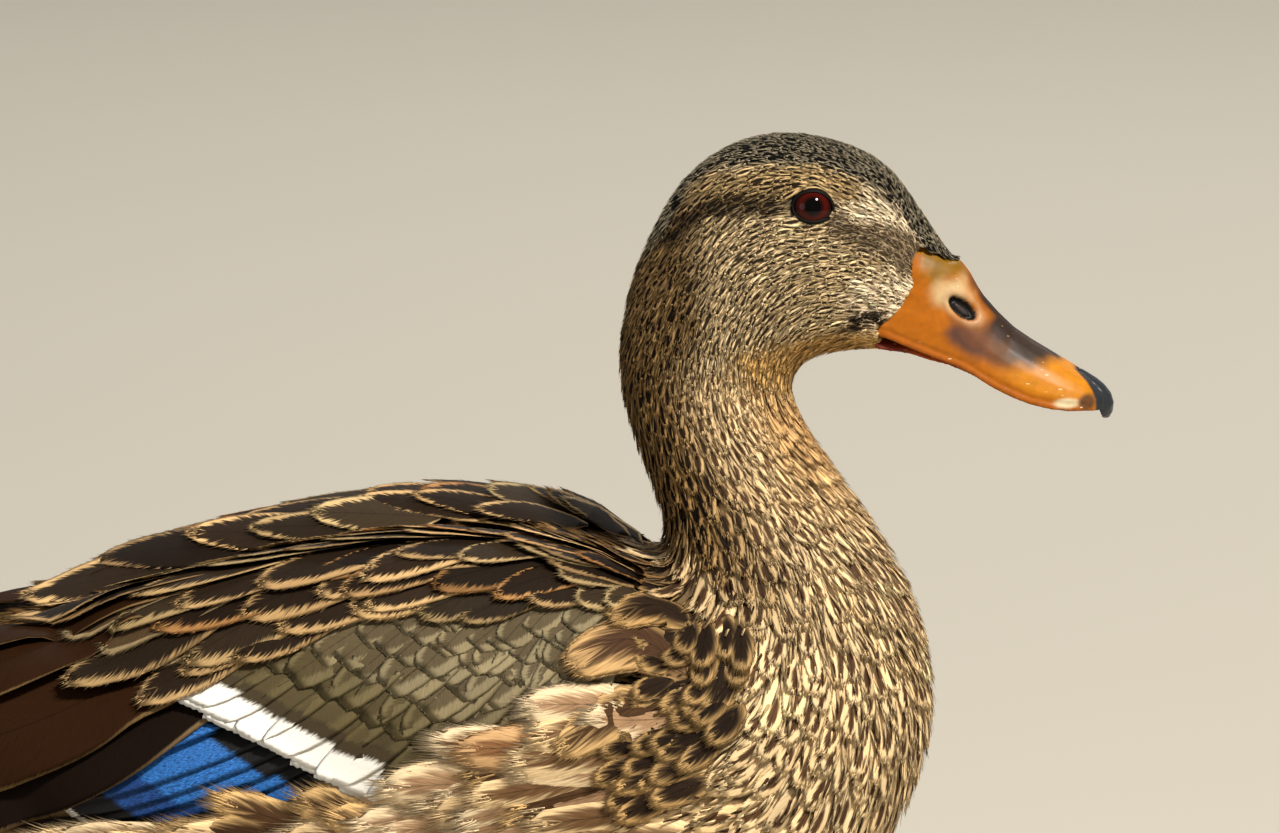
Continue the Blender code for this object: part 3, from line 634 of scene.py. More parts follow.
def body_looks(points, station, belly):
    """How the feathers that root at these points look."""
    x, z = points[:, 0], points[:, 2]
    looks = Looks(len(points), "breast")

    def near(line, far, close):
        """1 within close of a line seen from the side, and 0 from far on."""
        return rise(line_distance(x, z, line), far, close)

    looks.paint("flank", rise(station, 8.6, 6.4))
    looks.paint("belly", rise(belly, 0.74, 0.93) * rise(station, 9.0, 7.2))
    looks.paint("undertail", rise(belly, 0.45, 0.7) * rise(station, 3.0, 1.6))
    looks.paint("back", rise(belly, 0.36, 0.16) * rise(station, 12.4, 10.8))
    looks.paint("back", rise(station, 2.2, 1.2) * rise(belly, 0.82, 0.62))
    looks.paint("back", rise(station, 4.8, 3.6) * rise(belly, 0.58, 0.44))
    looks.paint("side breast", near(SHOULDER, 12.0, 4.0) * rise(station, 13.5, 12.0))
    looks.paint("neck", rise(station, 12.2, 14.4))
    looks.paint("nape", rise(station, 11.8, 13.6) * rise(belly, 0.62, 0.18))
    throat = rise(station, 14.6, 16.6) * rise(belly, 0.66, 0.9)
    looks.paint("throat", throat * rise(station, 20.4, 19.4))
    head = rise(station, 18.6, 20.6)
    looks.paint("cheek", head * rise(x, 97, 107))
    looks.paint("hind cheek", head * rise(x, 113, 98) * rise(z, 202, 208))
    looks.paint("hind cheek", head * near(DARK_NECK, 6, 3))
    looks.paint("chin", head * rise(z, 208, 204.2) * rise(x, 108, 118))
    looks.paint("face", head * near(PALE_LORE, 6, 2.5))
    looks.paint("face", head * near(PALE_GAPE, 9.0, 3.0))
    looks.paint("brow", head * near(BROW, 4.2, 2.0))
    looks.paint("lore", head * near(LORE_STRIPE, 3.0, 1.6))
    looks.paint("lore", head * near(LORE_STRIPE[2:], 4.2, 2.6))
    looks.paint("eye stripe", 0.9 * head * near(EYE_STRIPE, 3.4, 0.9))
    looks.paint("gape", head * near(GAPE_SPOT, 1.8, 0.8))
    over = inside_outline(x, z, ABOVE_CROWN)
    edge = line_distance(x, z, CROWN_EDGE)
    looks.paint("crown", head * np.where(over, rise(edge, -0.6, 0.8), rise(edge, 0.8, -0.6)))
    return looks


# ---- vanes


def lens_template(rows, columns):
    """The faces of one closed vane: a top grid, and an underside that shares its rim."""
    inner = columns - 2

    def top(i, j):
        return i * columns + j

    def under(i, j):
        if i in (0, rows - 1) or j in (0, columns - 1):
            return top(i, j)
        return rows * columns + (i - 1) * inner + j - 1

    faces = []
    for i in range(rows - 1):
        for j in range(columns - 1):
            faces.append([top(i, j), top(i + 1, j), top(i + 1, j + 1), top(i, j + 1)])
            faces.append([under(i, j), under(i, j + 1), under(i + 1, j + 1), under(i + 1, j)])
    return np.array(faces)


Vanes = namedtuple("Vanes", "points quads spikes places")
BAKE_PATCH = 0.003  # how wide each feather's patch is on its coat's map


def make_vanes(line, normals, half_width, columns, rng, thick=0.25, arch=0.16, roll=0.0, fray=0.0,
               side=1, barbs=0, barb_long=1.5, slant=0.0, splay=(0.15, 0.55)):
    """Closed vanes along rows of points. Line and normals are (count, rows, 3) and half_width
    is (count, rows). Arch and roll are shares of the half width, and slant sets one edge of
    the vane ahead of the other. Fray pulls every other point of the tip back by up to that
    share of the last row. Barbs are the loose ends round each tip, barb_long on average and
    splayed from the tip's way by a range of shares. Side -1 mirrors the lot."""
    count, rows = half_width.shape
    ahead = unit(np.gradient(line, axis=1))
    aside = unit(np.cross(normals, ahead))
    across = np.linspace(-1, 1, columns)
    roll = np.broadcast_to(np.asarray(roll, float), (count,))[:, None, None]
    bend = half_width[:, :, None] * (roll * across - arch * across**2)
    top = line[:, :, None] + aside[:, :, None] * (half_width[:, :, None] * across)[..., None]
    top += normals[:, :, None] * bend[..., None]
    top += ahead[:, :, None] * (slant * half_width[:, :, None] * across)[..., None]
    if fray > 0:
        notch = fray * rng.uniform(0.2, 1.0, (count, columns))
        notch[:, ::2] *= 0.25
        notch = notch[..., None]
        top[:, -1] = top[:, -1] * (1 - notch) + top[:, -2] * notch
    depth = thick * (1 - across[1:-1] ** 2)[None, None, :, None]
    under = top[:, 1:-1, 1:-1] - normals[:, 1:-1, None] * depth
    points = np.concatenate([top.reshape(count, -1, 3), under.reshape(count, -1, 3)], axis=1)
    grid = np.stack(np.meshgrid((across + 1) / 2, np.linspace(0, 1, rows)), axis=-1)
    places = np.concatenate([grid.reshape(-1, 2), grid[1:-1, 1:-1].reshape(-1, 2)])
    places = np.broadcast_to(places, (count, *places.shape))
    quads, spikes = lens_template(rows, columns), np.zeros((0, 3), int)
    if barbs:
        ends, end_places = barb_spikes(top, ahead, normals, barbs, barb_long, splay, rng)
        spikes = np.array([[0, 1, 3], [1, 2, 3], [2, 0, 3], [0, 2, 1]])
        spikes = (spikes + points.shape[1] + 4 * np.arange(barbs)[:, None, None]).reshape(-1, 3)
        points = np.concatenate([points, ends], axis=1)
        places = np.concatenate([places, end_places], axis=1)
    if side < 0:
        points, quads, spikes = points * np.array([1, -1, 1]), quads[:, ::-1], spikes[:, ::-1]
    return Vanes(points, quads, spikes, places)


def barb_spikes(top, ahead, normals, barbs, barb_long, splay, rng):
    """Thin closed spikes round the outer part of each vane's edge, pointing on along it."""
    count, rows, columns = top.shape[:3]
    first = max(rows - max(rows // 2, 2), 1)
    last = rows - 1
    rim = [(i, 0) for i in range(first, last)] + [(last, j) for j in range(columns)]
    rim += [(i, columns - 1) for i in range(last - 1, first - 1, -1)]
    i, j = np.array(rim).T
    edge = top[:, i, j]
    gaps = np.linalg.norm(np.diff(edge, axis=1), axis=2).mean(axis=0)
    spans = np.concatenate([[0], np.cumsum(gaps)])
    shares = (np.arange(barbs) + rng.uniform(0.0, 1.0, (count, barbs))) / barbs
    index = np.interp(shares, spans / spans[-1], np.arange(len(rim)))
    low = np.minimum(index.astype(int), len(rim) - 2)
    part = (index - low)[..., None]
    which = np.arange(count)[:, None]
    root = edge[which, low] * (1 - part) + edge[which, low + 1] * part
    rib = i[low]
    forth, up = ahead[which, rib], normals[which, rib]
    middle = top[which, rib, columns // 2]
    outward = unit(root - middle)
    way = unit(forth + outward * rng.uniform(*splay, (count, barbs, 1)))
    reach = barb_long * rng.uniform(0.4, 1.2, (count, barbs, 1))
    base = root - way * 0.7 * reach + up * 0.02
    aside = np.cross(up, way) * rng.uniform(0.10, 0.20, (count, barbs, 1))
    aside = aside * min(barb_long, 1.6) ** 0.5
    tip = root + way * reach + up * rng.uniform(-0.25, 0.20, (count, barbs, 1)) * reach * 0.5
    ends = np.stack([base + aside, base - aside, base - up * 0.15, tip], axis=2)
    out = rng.uniform(0.0, 0.12, (count, barbs, 1))
    on = rng.uniform(0.86, 1.0, (count, barbs, 1))
    places = np.concatenate([out, on], axis=2)
    return ends.reshape(count, -1, 3), np.repeat(places, 4, axis=1)


def width_profile(shares, blunt=0.44):
    """The half width along a vane: an ellipse with its ends cut off."""
    place = 0.5 - blunt + 2 * blunt * shares**0.9
    return np.sqrt(np.maximum(1 - (2 * place - 1) ** 2, 0.02))


class Coat:
    """Vanes gathered for one object, with their looks."""

    def __init__(self):
        self.parts = []

    def add(self, vanes, looks, root_place, size, rng):
        """Root_place is each vane's place on the bake map, and size its length and width."""
        seed = 60 * rng.random(len(size))
        self.parts.append((vanes, looks, root_place, np.column_stack([size, seed])))

    def finish(self, name, material, cells=False):
        """The object. With cells, each vane has a cell of its own on the bake map."""
        points, faces, vane, bake = [], [], [], []
        columns = {"centre": [], "fringe": [], "spot": [], "size": []}
        start = done = 0
        across = math.ceil(math.sqrt(sum(len(part[0].points) for part in self.parts)))
        for vanes, looks, root_place, size in self.parts:
            count, each = vanes.points.shape[:2]
            points.append(vanes.points.reshape(-1, 3))
            offsets = start + each * np.arange(count)[:, None, None]
            for template in (vanes.quads, vanes.spikes):
                if len(template):
                    faces.append((template + offsets).reshape(-1, template.shape[1]))
            vane.append(vanes.places.reshape(-1, 2))
            if cells:
                order = done + np.arange(count)
                corner = np.stack([order % across, order // across], axis=1) / across
                spread = corner[:, None] + (0.06 + 0.88 * vanes.places) / across
            else:
                middle = 0.005 + 0.99 * root_place[:, None]
                spread = middle + BAKE_PATCH * (vanes.places - 0.5)
            bake.append(spread.reshape(-1, 2))
            facts = {"centre": looks.centre, "fringe": looks.fringe, "spot": looks.spot, "size": size}
            for key, rows in facts.items():
                columns[key].append(np.repeat(rows, each, axis=0))
            start += count * each
            done += count
        obj = mesh_object(name, np.concatenate(points), faces, material)
        add_uv(obj.data, "OFBake", np.concatenate(bake))
        add_uv(obj.data, "vane", np.concatenate(vane))
        for key, rows in columns.items():
            add_vector(obj.data, key, np.concatenate(rows))
        return obj


def mesh_object(name, points, faces, material):
    """A new object from points in millimetres and arrays of faces, each array's alike."""
    mesh = bpy.data.meshes.new(name)
    mesh.vertices.add(len(points))
    mesh.vertices.foreach_set("co", (points * MM).astype(np.float32).ravel())
    corners = np.concatenate([part.ravel() for part in faces]).astype(np.int32)
    counts = np.concatenate([np.full(len(part), part.shape[1]) for part in faces])
    mesh.loops.add(len(corners))
    mesh.loops.foreach_set("vertex_index", corners)
    mesh.polygons.add(len(counts))
    mesh.polygons.foreach_set("loop_start", (np.cumsum(counts) - counts).astype(np.int32))
    mesh.update(calc_edges=True)
    mesh.shade_smooth()
    mesh.materials.append(material)
    obj = bpy.data.objects.new(name, mesh)
    bpy.context.scene.collection.objects.link(obj)
    return obj


def add_uv(mesh, name, places):
    """A UV map from one place for each vertex."""
    corners = np.empty(len(mesh.loops), np.int32)
    mesh.loops.foreach_get("vertex_index", corners)
    layer = mesh.uv_layers.new(name=name, do_init=False)
    layer.uv.foreach_set("vector", places[corners].astype(np.float32).ravel())


def add_vector(mesh, name, rows):
    attribute = mesh.attributes.new(name, "FLOAT_VECTOR", "POINT")
    attribute.data.foreach_set("vector", np.ascontiguousarray(rows, np.float32).ravel())


def place_piece(obj, slot, *replaced):
    """Every piece rides on the bird's one body, and the imported parts it stands for are hidden. The
    slot is not used.
    """
    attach(obj, "root")
    if replaced:
        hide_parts(*replaced)


# ---- materials


def wire(tree, node, inputs):
    """Sets a node's inputs to values, sockets, or nodes whose first output is meant."""
    for key, value in inputs.items():
        if isinstance(value, bpy.types.Node):
            value = value.outputs[0]
        if isinstance(value, bpy.types.NodeSocket):
            tree.links.new(value, node.inputs[key])
        else:
            node.inputs[key].default_value = value


def add(tree, kind, inputs=None, **settings):
    """Adds a shader node with its settings and its inputs."""
    made = tree.nodes.new("ShaderNode" + kind)
    for key, value in settings.items():
        setattr(made, key, value)
    wire(tree, made, inputs or {})
    return made


def new_material(name):
    """An empty node material and its shader."""
    material = bpy.data.materials.new(name)
    material.use_nodes = True
    tree = material.node_tree
    return material, tree, tree.nodes["Principled BSDF"]


def rgba(colour):
    """A shader's colour from sRGB hex or from linear values."""
    return (*(linear(colour) if isinstance(colour, str) else colour), 1.0)


def set_ramp(ramp, stops):
    """Fills a colour ramp from places and colours."""
    elements = ramp.color_ramp.elements
    elements.remove(elements[1])
    elements[0].position, elements[0].color = stops[0]
    for place, colour in stops[1:]:
        elements.new(place).color = colour


def tinted(name, scale, depth, constants, strength=0.5, detail=4.0, span=(0.3, 0.7),
           spread=(0.88, 1.08)):
    """A material whose colour is the mesh's own tint, with a fine grain over it that also
    gives its relief, depth millimetres deep. The grain over its span scales the colour over
    its spread. Returns the material and its colour node."""
    material, tree, shader = new_material(name)
    tint = add(tree, "Attribute", attribute_name="tint")
    place = add(tree, "TexCoord").outputs["Object"]
    grain = add(tree, "TexNoise", {"Vector": place, "Scale": scale, "Detail": detail})
    shade = add(tree, "MapRange", {0: grain, 1: span[0], 2: span[1], 3: spread[0], 4: spread[1]})
    colour = add(tree, "VectorMath", {0: tint.outputs["Vector"], 3: shade}, operation="SCALE")
    relief = add(tree, "Bump", {"Height": grain, "Strength": strength, "Distance": depth * MM})
    wire(tree, shader, {"Base Color": colour, "Normal": relief} | constants)
    return material, colour


@functools.cache
def vane_nodes(name, slope, spacing, softness, roughness, shine, contrast, skew=0.10, blur=(1.25, 0.7)):
    """The material of a feather's vane, its own colour, and its sizes as sockets: the place
    along it as a share, its length, half width and seed. Barbs leave the shaft at a slope.
    Softness is how far they break up the dark centre's edge, and skew how far the centre lies
    to the vane's covered side, as a share of half its width. Blur is where the edge starts
    and ends, in radii of the centre's ellipse."""
    material, tree, shader = new_material(name)
    parts = add(tree, "SeparateXYZ", {0: add(tree, "UVMap", uv_map="vane")})
    size, spot, centre, fringe = (
        add(tree, "Attribute", attribute_name=key) for key in ("size", "spot", "centre", "fringe")
    )
    long, half, seed = add(tree, "SeparateXYZ", {0: size.outputs["Vector"]}).outputs
    spot_wide, spot_place, spot_long = add(tree, "SeparateXYZ", {0: spot.outputs["Vector"]}).outputs
    along = parts.outputs[1]
    across = add(tree, "Math", {0: parts, 1: 2.0, 2: -1.0 - skew}, operation="MULTIPLY_ADD")
    out = add(tree, "Math", {0: across}, operation="ABSOLUTE")
    out_mm = add(tree, "Math", {0: out, 1: half}, operation="MULTIPLY")
    along_mm = add(tree, "Math", {0: along, 1: long}, operation="MULTIPLY")
    # A barb keeps this sum the same from its root on the shaft to its tip.
    slant = add(tree, "Math", {0: along_mm, 1: -slope, 2: out_mm}, operation="MULTIPLY_ADD")
    slow = add(tree, "Math", {0: along_mm, 1: 0.10}, operation="MULTIPLY")
    place = add(tree, "CombineXYZ", {0: slant, 1: slow, 2: seed})
    barbs = add(tree, "TexNoise", {
        "Vector": place, "Scale": 1.0 / spacing, "Detail": 2.0, "Roughness": 0.6,
    })
    streak = add(tree, "TexNoise", {"Vector": place, "Scale": 0.6 / spacing, "Detail": 1.0})
    # The dark centre: an ellipse whose edge the barbs break up.
    ragged = add(tree, "Math", {0: streak, 1: -0.5}, operation="ADD")
    wide = add(tree, "Math", {0: ragged, 1: softness, 2: out}, operation="MULTIPLY_ADD")
    wide = add(tree, "Math", {0: wide, 1: spot_wide}, operation="DIVIDE")
    far = add(tree, "Math", {0: ragged, 1: softness * 0.8, 2: along}, operation="MULTIPLY_ADD")
    far = add(tree, "Math", {0: far, 1: spot_place}, operation="SUBTRACT")
    far = add(tree, "Math", {0: far, 1: spot_long}, operation="DIVIDE")
    wide = add(tree, "Math", {0: wide, 1: wide}, operation="MULTIPLY")
    reach = add(tree, "Math", {0: far, 1: far, 2: wide}, operation="MULTIPLY_ADD")
    dark = add(tree, "MapRange", {0: reach, 1: blur[0], 2: blur[1]}, interpolation_type="SMOOTHSTEP")
    colour = add(tree, "Mix", {
        0: dark, 6: fringe.outputs["Color"], 7: centre.outputs["Color"],
    }, data_type="RGBA")
    shade = add(tree, "MapRange", {0: barbs, 1: 0.25, 2: 0.75, 3: 1 - contrast, 4: 1 + contrast})
    shaft = add(tree, "MapRange", {0: out_mm, 1: 0.05, 2: 0.22, 3: 0.55, 4: 1.0})
    shade = add(tree, "Math", {0: shade, 1: shaft}, operation="MULTIPLY")
    colour = add(tree, "VectorMath", {0: colour.outputs[2], 3: shade}, operation="SCALE")
    relief = add(tree, "Bump", {"Height": barbs, "Strength": 0.5, "Distance": 0.12 * MM})
    wire(tree, shader, {
        "Base Color": colour, "Normal": relief, "Roughness": roughness, "Specular IOR Level": shine,
    })
    return material, colour, (parts.outputs[0], along_mm, long, half, seed)


def contour_material():
    """Keratin of the body's small feathers: matt, with loose barbs nearly along the shaft."""
    return vane_nodes("contour feather keratin", 0.30, 0.34, 0.50, 0.8, 0.08, 0.22, 0.0, (1.6, 0.5))[0]


def loose_web_material():
    """Keratin of the back's feathers: a web whose outer barbs come apart in hairs."""
    return vane_nodes("scapular keratin", 0.8, 0.34, 0.50, 0.7, 0.08, 0.26, 0.12, (1.25, 0.78))[0]


def flank_material():
    """Keratin of the flank's feathers: soft, with long streaks of barbs that don't hook."""
    return vane_nodes("flank feather keratin", 0.35, 0.42, 0.70, 0.8, 0.08, 0.34, 0.1, (2.0, 0.3))[0]


def tertial_material():
    """Keratin of the tertials: a firm, matt web with a hair-thin pale edge."""
    return vane_nodes("tertial keratin", 1.1, 0.30, 0.05, 0.75, 0.05, 0.24, 0.015, (1.15, 0.98))[0]


def rectrix_material():
    """Tail keratin: a firm, dull web whose pale edge is narrow and clean."""
    return vane_nodes("rectrix keratin", 1.1, 0.30, 0.12, 0.75, 0.05, 0.24, 0.02, (1.12, 0.86))[0]


def web_material(name):
    """A flight feather's vane: barbs hooked into a smooth web with a faint satin gloss."""
    return vane_nodes(name, 1.1, 0.30, 0.20, 0.65, 0.10, 0.20)[0]


@functools.cache
def banded_material(name, bands, roughness, contrast):
    """A web whose colour changes in bands measured in millimetres back from the tip. Each
    band is where it starts and its colour; a band with no colour shows the feather's own."""
    material, own, (place, along, long, half, seed) = vane_nodes(
        name, 1.1, 0.30, 0.16, roughness, 0.25, contrast
    )
    tree = material.node_tree
    out = add(tree, "Math", {0: place, 1: 2.0, 2: -1.0}, operation="MULTIPLY_ADD")
    out = add(tree, "Math", {0: out, 1: half}, operation="MULTIPLY")
    hairs = add(tree, "CombineXYZ", {0: out, 1: along, 2: seed})
    hairs = add(tree, "VectorMath", {0: hairs, 1: (2.0, 0.25, 1.0)}, operation="MULTIPLY")
    ragged = add(tree, "TexNoise", {"Vector": hairs, "Scale": 1.6, "Detail": 2.0})
    ragged = add(tree, "Math", {0: ragged, 1: 2.4, 2: -1.2}, operation="MULTIPLY_ADD")
    back = add(tree, "Math", {0: long, 1: along}, operation="SUBTRACT")
    back = add(tree, "Math", {0: back, 1: 0.9, 2: ragged}, operation="MULTIPLY_ADD")
    longest = bands[-1][0] + 10.0
    share = add(tree, "Math", {0: back, 1: longest}, operation="DIVIDE")
    ramp = add(tree, "ValToRGB", {0: share})
    colours = [rgba(colour) if colour else (0.0, 0.0, 0.0, 0.0) for _, colour in bands]
    soft = 0.5 / longest
    stops = [(0.0, colours[0])]
    for (start, _), before, after in zip(bands[1:], colours, colours[1:]):
        stops += [(start / longest - soft, before), (start / longest + soft, after)]
    set_ramp(ramp, stops + [(1.0, colours[-1])])
    mixed = add(tree, "Mix", {
        0: ramp.outputs["Alpha"], 6: own.outputs[0], 7: ramp.outputs["Color"],
    }, data_type="RGBA")
    grain = add(tree, "TexNoise", {"Vector": hairs, "Scale": 5.0, "Detail": 1.0})
    grain = add(tree, "MapRange", {0: grain, 1: 0.35, 2: 0.65, 3: 1 - contrast, 4: 1 + 0.6 * contrast})
    speckled = add(tree, "VectorMath", {0: mixed.outputs[2], 3: grain}, operation="SCALE")
    wire(tree, tree.nodes["Principled BSDF"], {"Base Color": speckled})
    return material


def covert_material():
    """Keratin of the greater coverts, with the white bar before their black tips."""
    wing = bpy.context.scene.hen_wing
    wide = wing.bar_width / MM
    bands = ((0.0, tuple(wing.bar)), (wide, "#3E3320"), (wide + 2.7, None))
    return banded_material("barred covert keratin", bands, 0.55, 0.10)


def speculum_material():
    """Keratin of the secondaries: layered barbules scatter blue between black bands."""
    wing = bpy.context.scene.hen_wing
    start, wide = 14.0, wing.patch_width / MM
    bands = (
        (0.0, "#F2F0EA"), (2.8, "#070606"), (start, "#173F7C"),
        (start + 0.35 * wide, tuple(wing.patch)), (start + wide, "#070606"),
    )
    return banded_material("speculum keratin", bands, 0.45, 0.8)


def skin_material():
    """Bird skin under down: it shows only as the dark between feathers."""
    return tinted("downy skin", 900.0, 0.3, {"Roughness": 0.85}, strength=0.6, detail=3.0,
                  span=(0.0, 1.0), spread=(0.5, 1.2))[0]


# ---- the skin


def bmesh_object(name, bm, *materials):
    """A new object with the shape of a bmesh, which is freed."""
    mesh = bpy.data.meshes.new(name)
    bm.to_mesh(mesh)
    bm.free()
    mesh.shade_smooth()
    for material in materials:
        mesh.materials.append(material)
    obj = bpy.data.objects.new(name, mesh)
    bpy.context.scene.collection.objects.link(obj)
    return obj


def smooth_copy(name, meshes, voxel, smoothing, material, cutters=()):
    """One smooth closed piece from copies of meshes, less the cutters."""
    bm = bmesh.new()
    for mesh in meshes:
        bm.from_mesh(mesh)
    bmesh.ops.remove_doubles(bm, verts=bm.verts, dist=1e-6)
    obj = bmesh_object(name, bm)
    for cutter in cutters:
        cut = obj.modifiers.new("cut", "BOOLEAN")
        cut.operation = "DIFFERENCE"
        cut.object = cutter
    remesh = obj.modifiers.new("remesh", "REMESH")
    remesh.mode = "VOXEL"
    remesh.voxel_size = voxel * MM
    smooth = obj.modifiers.new("smooth", "SMOOTH")
    smooth.factor = 0.5
    smooth.iterations = smoothing
    graph = bpy.context.evaluated_depsgraph_get()
    finished = bpy.data.meshes.new_from_object(obj.evaluated_get(graph))
    rough, obj.data = obj.data, finished
    obj.modifiers.clear()
    bpy.data.meshes.remove(rough)
    finished.shade_smooth()
    finished.materials.clear()
    finished.materials.append(material)
    return obj


def mesh_points(mesh):
    """A mesh's points in millimetres."""
    points = np.empty(len(mesh.vertices) * 3, np.float32)
    mesh.vertices.foreach_get("co", points)
    return points.reshape(-1, 3).astype(float) / MM


def mesh_normals(mesh):
    normals = np.empty(len(mesh.vertices) * 3, np.float32)
    mesh.vertex_normals.foreach_get("vector", normals)
    return normals.reshape(-1, 3).astype(float)


def set_points(mesh, points):
    mesh.vertices.foreach_set("co", (points * MM).astype(np.float32).ravel())
    mesh.update()


def loft_mesh(name, rings):
    """A closed tube mesh through rings of points, as (rings, turns, 3) millimetres."""
    count, turns = rings.shape[:2]
    bm = bmesh.new()
    bmesh.ops.create_grid(bm, x_segments=turns, y_segments=count - 1, size=1.0)
    for vertex in bm.verts:
        turn = round((vertex.co.x + 1) / 2 * turns) % turns
        ring = round((vertex.co.y + 1) / 2 * (count - 1))
        vertex.co = Vector(rings[ring, turn]) * MM
    bmesh.ops.remove_doubles(bm, verts=bm.verts, dist=1e-7)
    bmesh.ops.holes_fill(bm, edges=bm.edges, sides=0)
    bmesh.ops.recalc_face_normals(bm, faces=bm.faces)
    mesh = bpy.data.meshes.new(name)
    bm.to_mesh(mesh)
    bm.free()
    return mesh


def shrunk_mesh(mesh, by):
    """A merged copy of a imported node's mesh, moved inwards."""
    bm = bmesh.new()
    bm.from_mesh(mesh)
    bmesh.ops.remove_doubles(bm, verts=bm.verts, dist=1e-6)
    bm.normal_update()
    for vertex in bm.verts:
        vertex.co -= vertex.normal * by * MM
    copy = mesh.copy()
    bm.to_mesh(copy)
    bm.free()
    return copy


def prism(name, outline, half_width):
    """A closed cutter across the bird from an outline seen from the side."""
    bm = bmesh.new()
    corners = [bm.verts.new((x * MM, -half_width * MM, z * MM)) for x, z in outline]
    face = bm.faces.new(corners)
    made = bmesh.ops.extrude_face_region(bm, geom=[face])
    moved = [item for item in made["geom"] if isinstance(item, bmesh.types.BMVert)]
    bmesh.ops.translate(bm, verts=moved, vec=(0, 2 * half_width * MM, 0))
    bmesh.ops.recalc_face_normals(bm, faces=bm.faces)
    return bmesh_object(name, bm)


THIGH_DEPTH = 1.2  # of the skin under the shins' feathers


def make_skin():
    body = body_map()
    shrunk = body.points - body.normals * body.depth[:, :, None]
    sources = [loft_mesh("body core", shrunk[::2, ::2])]
    sources += [shrunk_mesh(frame["nodes"][f"thigh_{side}"].data, THIGH_DEPTH) for side in SIDES]
    cutter = prism("face cutter", [(x + 0.6, z) for x, z in BILL_SIDE], 30.0)
    skin = smooth_copy("skin", sources, 1.25, 3, skin_material(), [cutter])
    bpy.data.objects.remove(cutter)
    points = mesh_points(skin.data)
    for side in SIDES:
        centre = node_centre(f"eye_{side}")
        away = np.linalg.norm(points - centre, axis=1)
        dipped = np.where(away < EYE_RADIUS + 0.6, np.minimum(away, EYE_RADIUS - 0.6), away)
        points = centre + (points - centre) * (dipped / away)[:, None]
    set_points(skin.data, points)
    tree = KDTree(body.steps * body.turns // 6)
    cells = [(i, j) for i in range(0, body.steps, 2) for j in range(0, body.turns, 3)]
    for index, (i, j) in enumerate(cells):
        tree.insert(Vector(body.points[i, j]), index)
    tree.balance()
    near = np.array([cells[tree.find(Vector(point))[1]] for point in points])
    looks = body_looks(points, body.stations[near[:, 0]], body.belly[near[:, 0], near[:, 1]])
    add_vector(skin.data, "tint", 0.45 * looks.fringe + 0.35 * looks.centre)
    place_piece(skin, "plumage", *FLESH)


# ---- the contour coat


COVERED_TO = 84.0  # ahead of this the body shows between the wing's first feathers


def covered_by_wings():
    """Which cells of the body's map lie under the folded wings, from 0 to 1."""
    body = body_map()
    tree = solid_tree([name for name in frame["nodes"] if name.startswith("wing_")])
    covered = np.zeros((body.steps, body.turns))
    for i in range(0, body.steps, 2):
        for j in range(0, body.turns, 2):
            start, way = Vector(body.points[i, j]), Vector(body.normals[i, j])
            hit = tree.ray_cast(start - way * 2.0, way, 16.0)[0]
            covered[i:i + 2, j:j + 2] = hit is not None and start.x < COVERED_TO
    return blurred(blurred(covered, 1.5, 0, False), 1.5, 1, True)


def coat_vanes(body, step, turn, rows, columns, rng, scale=1.0, slim=1.0, loose=0.0, thick=0.12,
               **options):
    """Vanes at these roots, with the sizes that the map gives there."""
    count = len(step)
    long = body.at(body.long, step, turn) * scale * rng.uniform(0.85, 1.15, count)
    wide = body.at(body.wide, step, turn) * slim * rng.uniform(0.85, 1.12, count)
    swing = rng.normal(0, 0.10 + 0.25 * loose, count)
    steps, turns = body.trace(step, turn, long, rows, swing)
    shares = np.linspace(0, 1, rows)
    line, normals = body.point(steps, turns), body.normal(steps, turns)
    sink = body.at(body.sink, step, turn)
    tip = rng.uniform(-0.12, 0.10, count) + loose * rng.uniform(0.0, 1.0, count)
    lift = -sink[:, None] * (1 - shares) ** 1.3 + (tip * sink)[:, None] * shares**2
    line = line + normals * lift[:, :, None]
    half = 0.5 * wide[:, None] * width_profile(shares)
    roll = rng.normal(0, 0.10, count)
    vanes = make_vanes(line, normals, half, columns, rng, thick=thick, roll=roll, **options)
    return vanes, long, wide


def add_tract(coat, body, step, turn, rows, columns, rng, plain=0.0, **options):
    """Feathers of one tract of the body, with its markings. Plain is the share of them that
    have no dark centre."""
    vanes, long, wide = coat_vanes(body, step, turn, rows, columns, rng, **options)
    looks = body_looks(body.point(step, turn), np.interp(step, np.arange(body.steps), body.stations),
                       (1 - np.cos(body.angle(turn))) / 2)
    looks.vary(rng, 0.12, 0.03)
    unmarked = rng.random(len(step)) < plain
    looks.spot[unmarked, 0] = 0.01
    looks.spot[~unmarked & (plain > 0), 0] = 2.0
    coat.add(vanes, looks, body.share(step, turn), np.stack([long, 0.5 * wide], axis=1), rng)


def face_room(body):
    """Where the coat may root: behind the bill and clear of the eyes' openings."""
    x, z = body.points[:, :, 0], body.points[:, :, 2]
    free = body.solid & ~inside_outline(x, z, BILL_SIDE)
    for word, side in SIDES.items():
        away = body.points - node_centre(f"eye_{word}")
        out, ahead, up = flat_axes(side)
        forth, high = away @ ahead, away @ up
        near = (away @ out) > 0
        free &= ~(near & (np.hypot(forth, high) < opening(np.arctan2(high, forth)) + 0.55))
    return free * (1 + 1.5 * rise(line_distance(x, z, FEATHER_LINE), 3.0, 0.5))


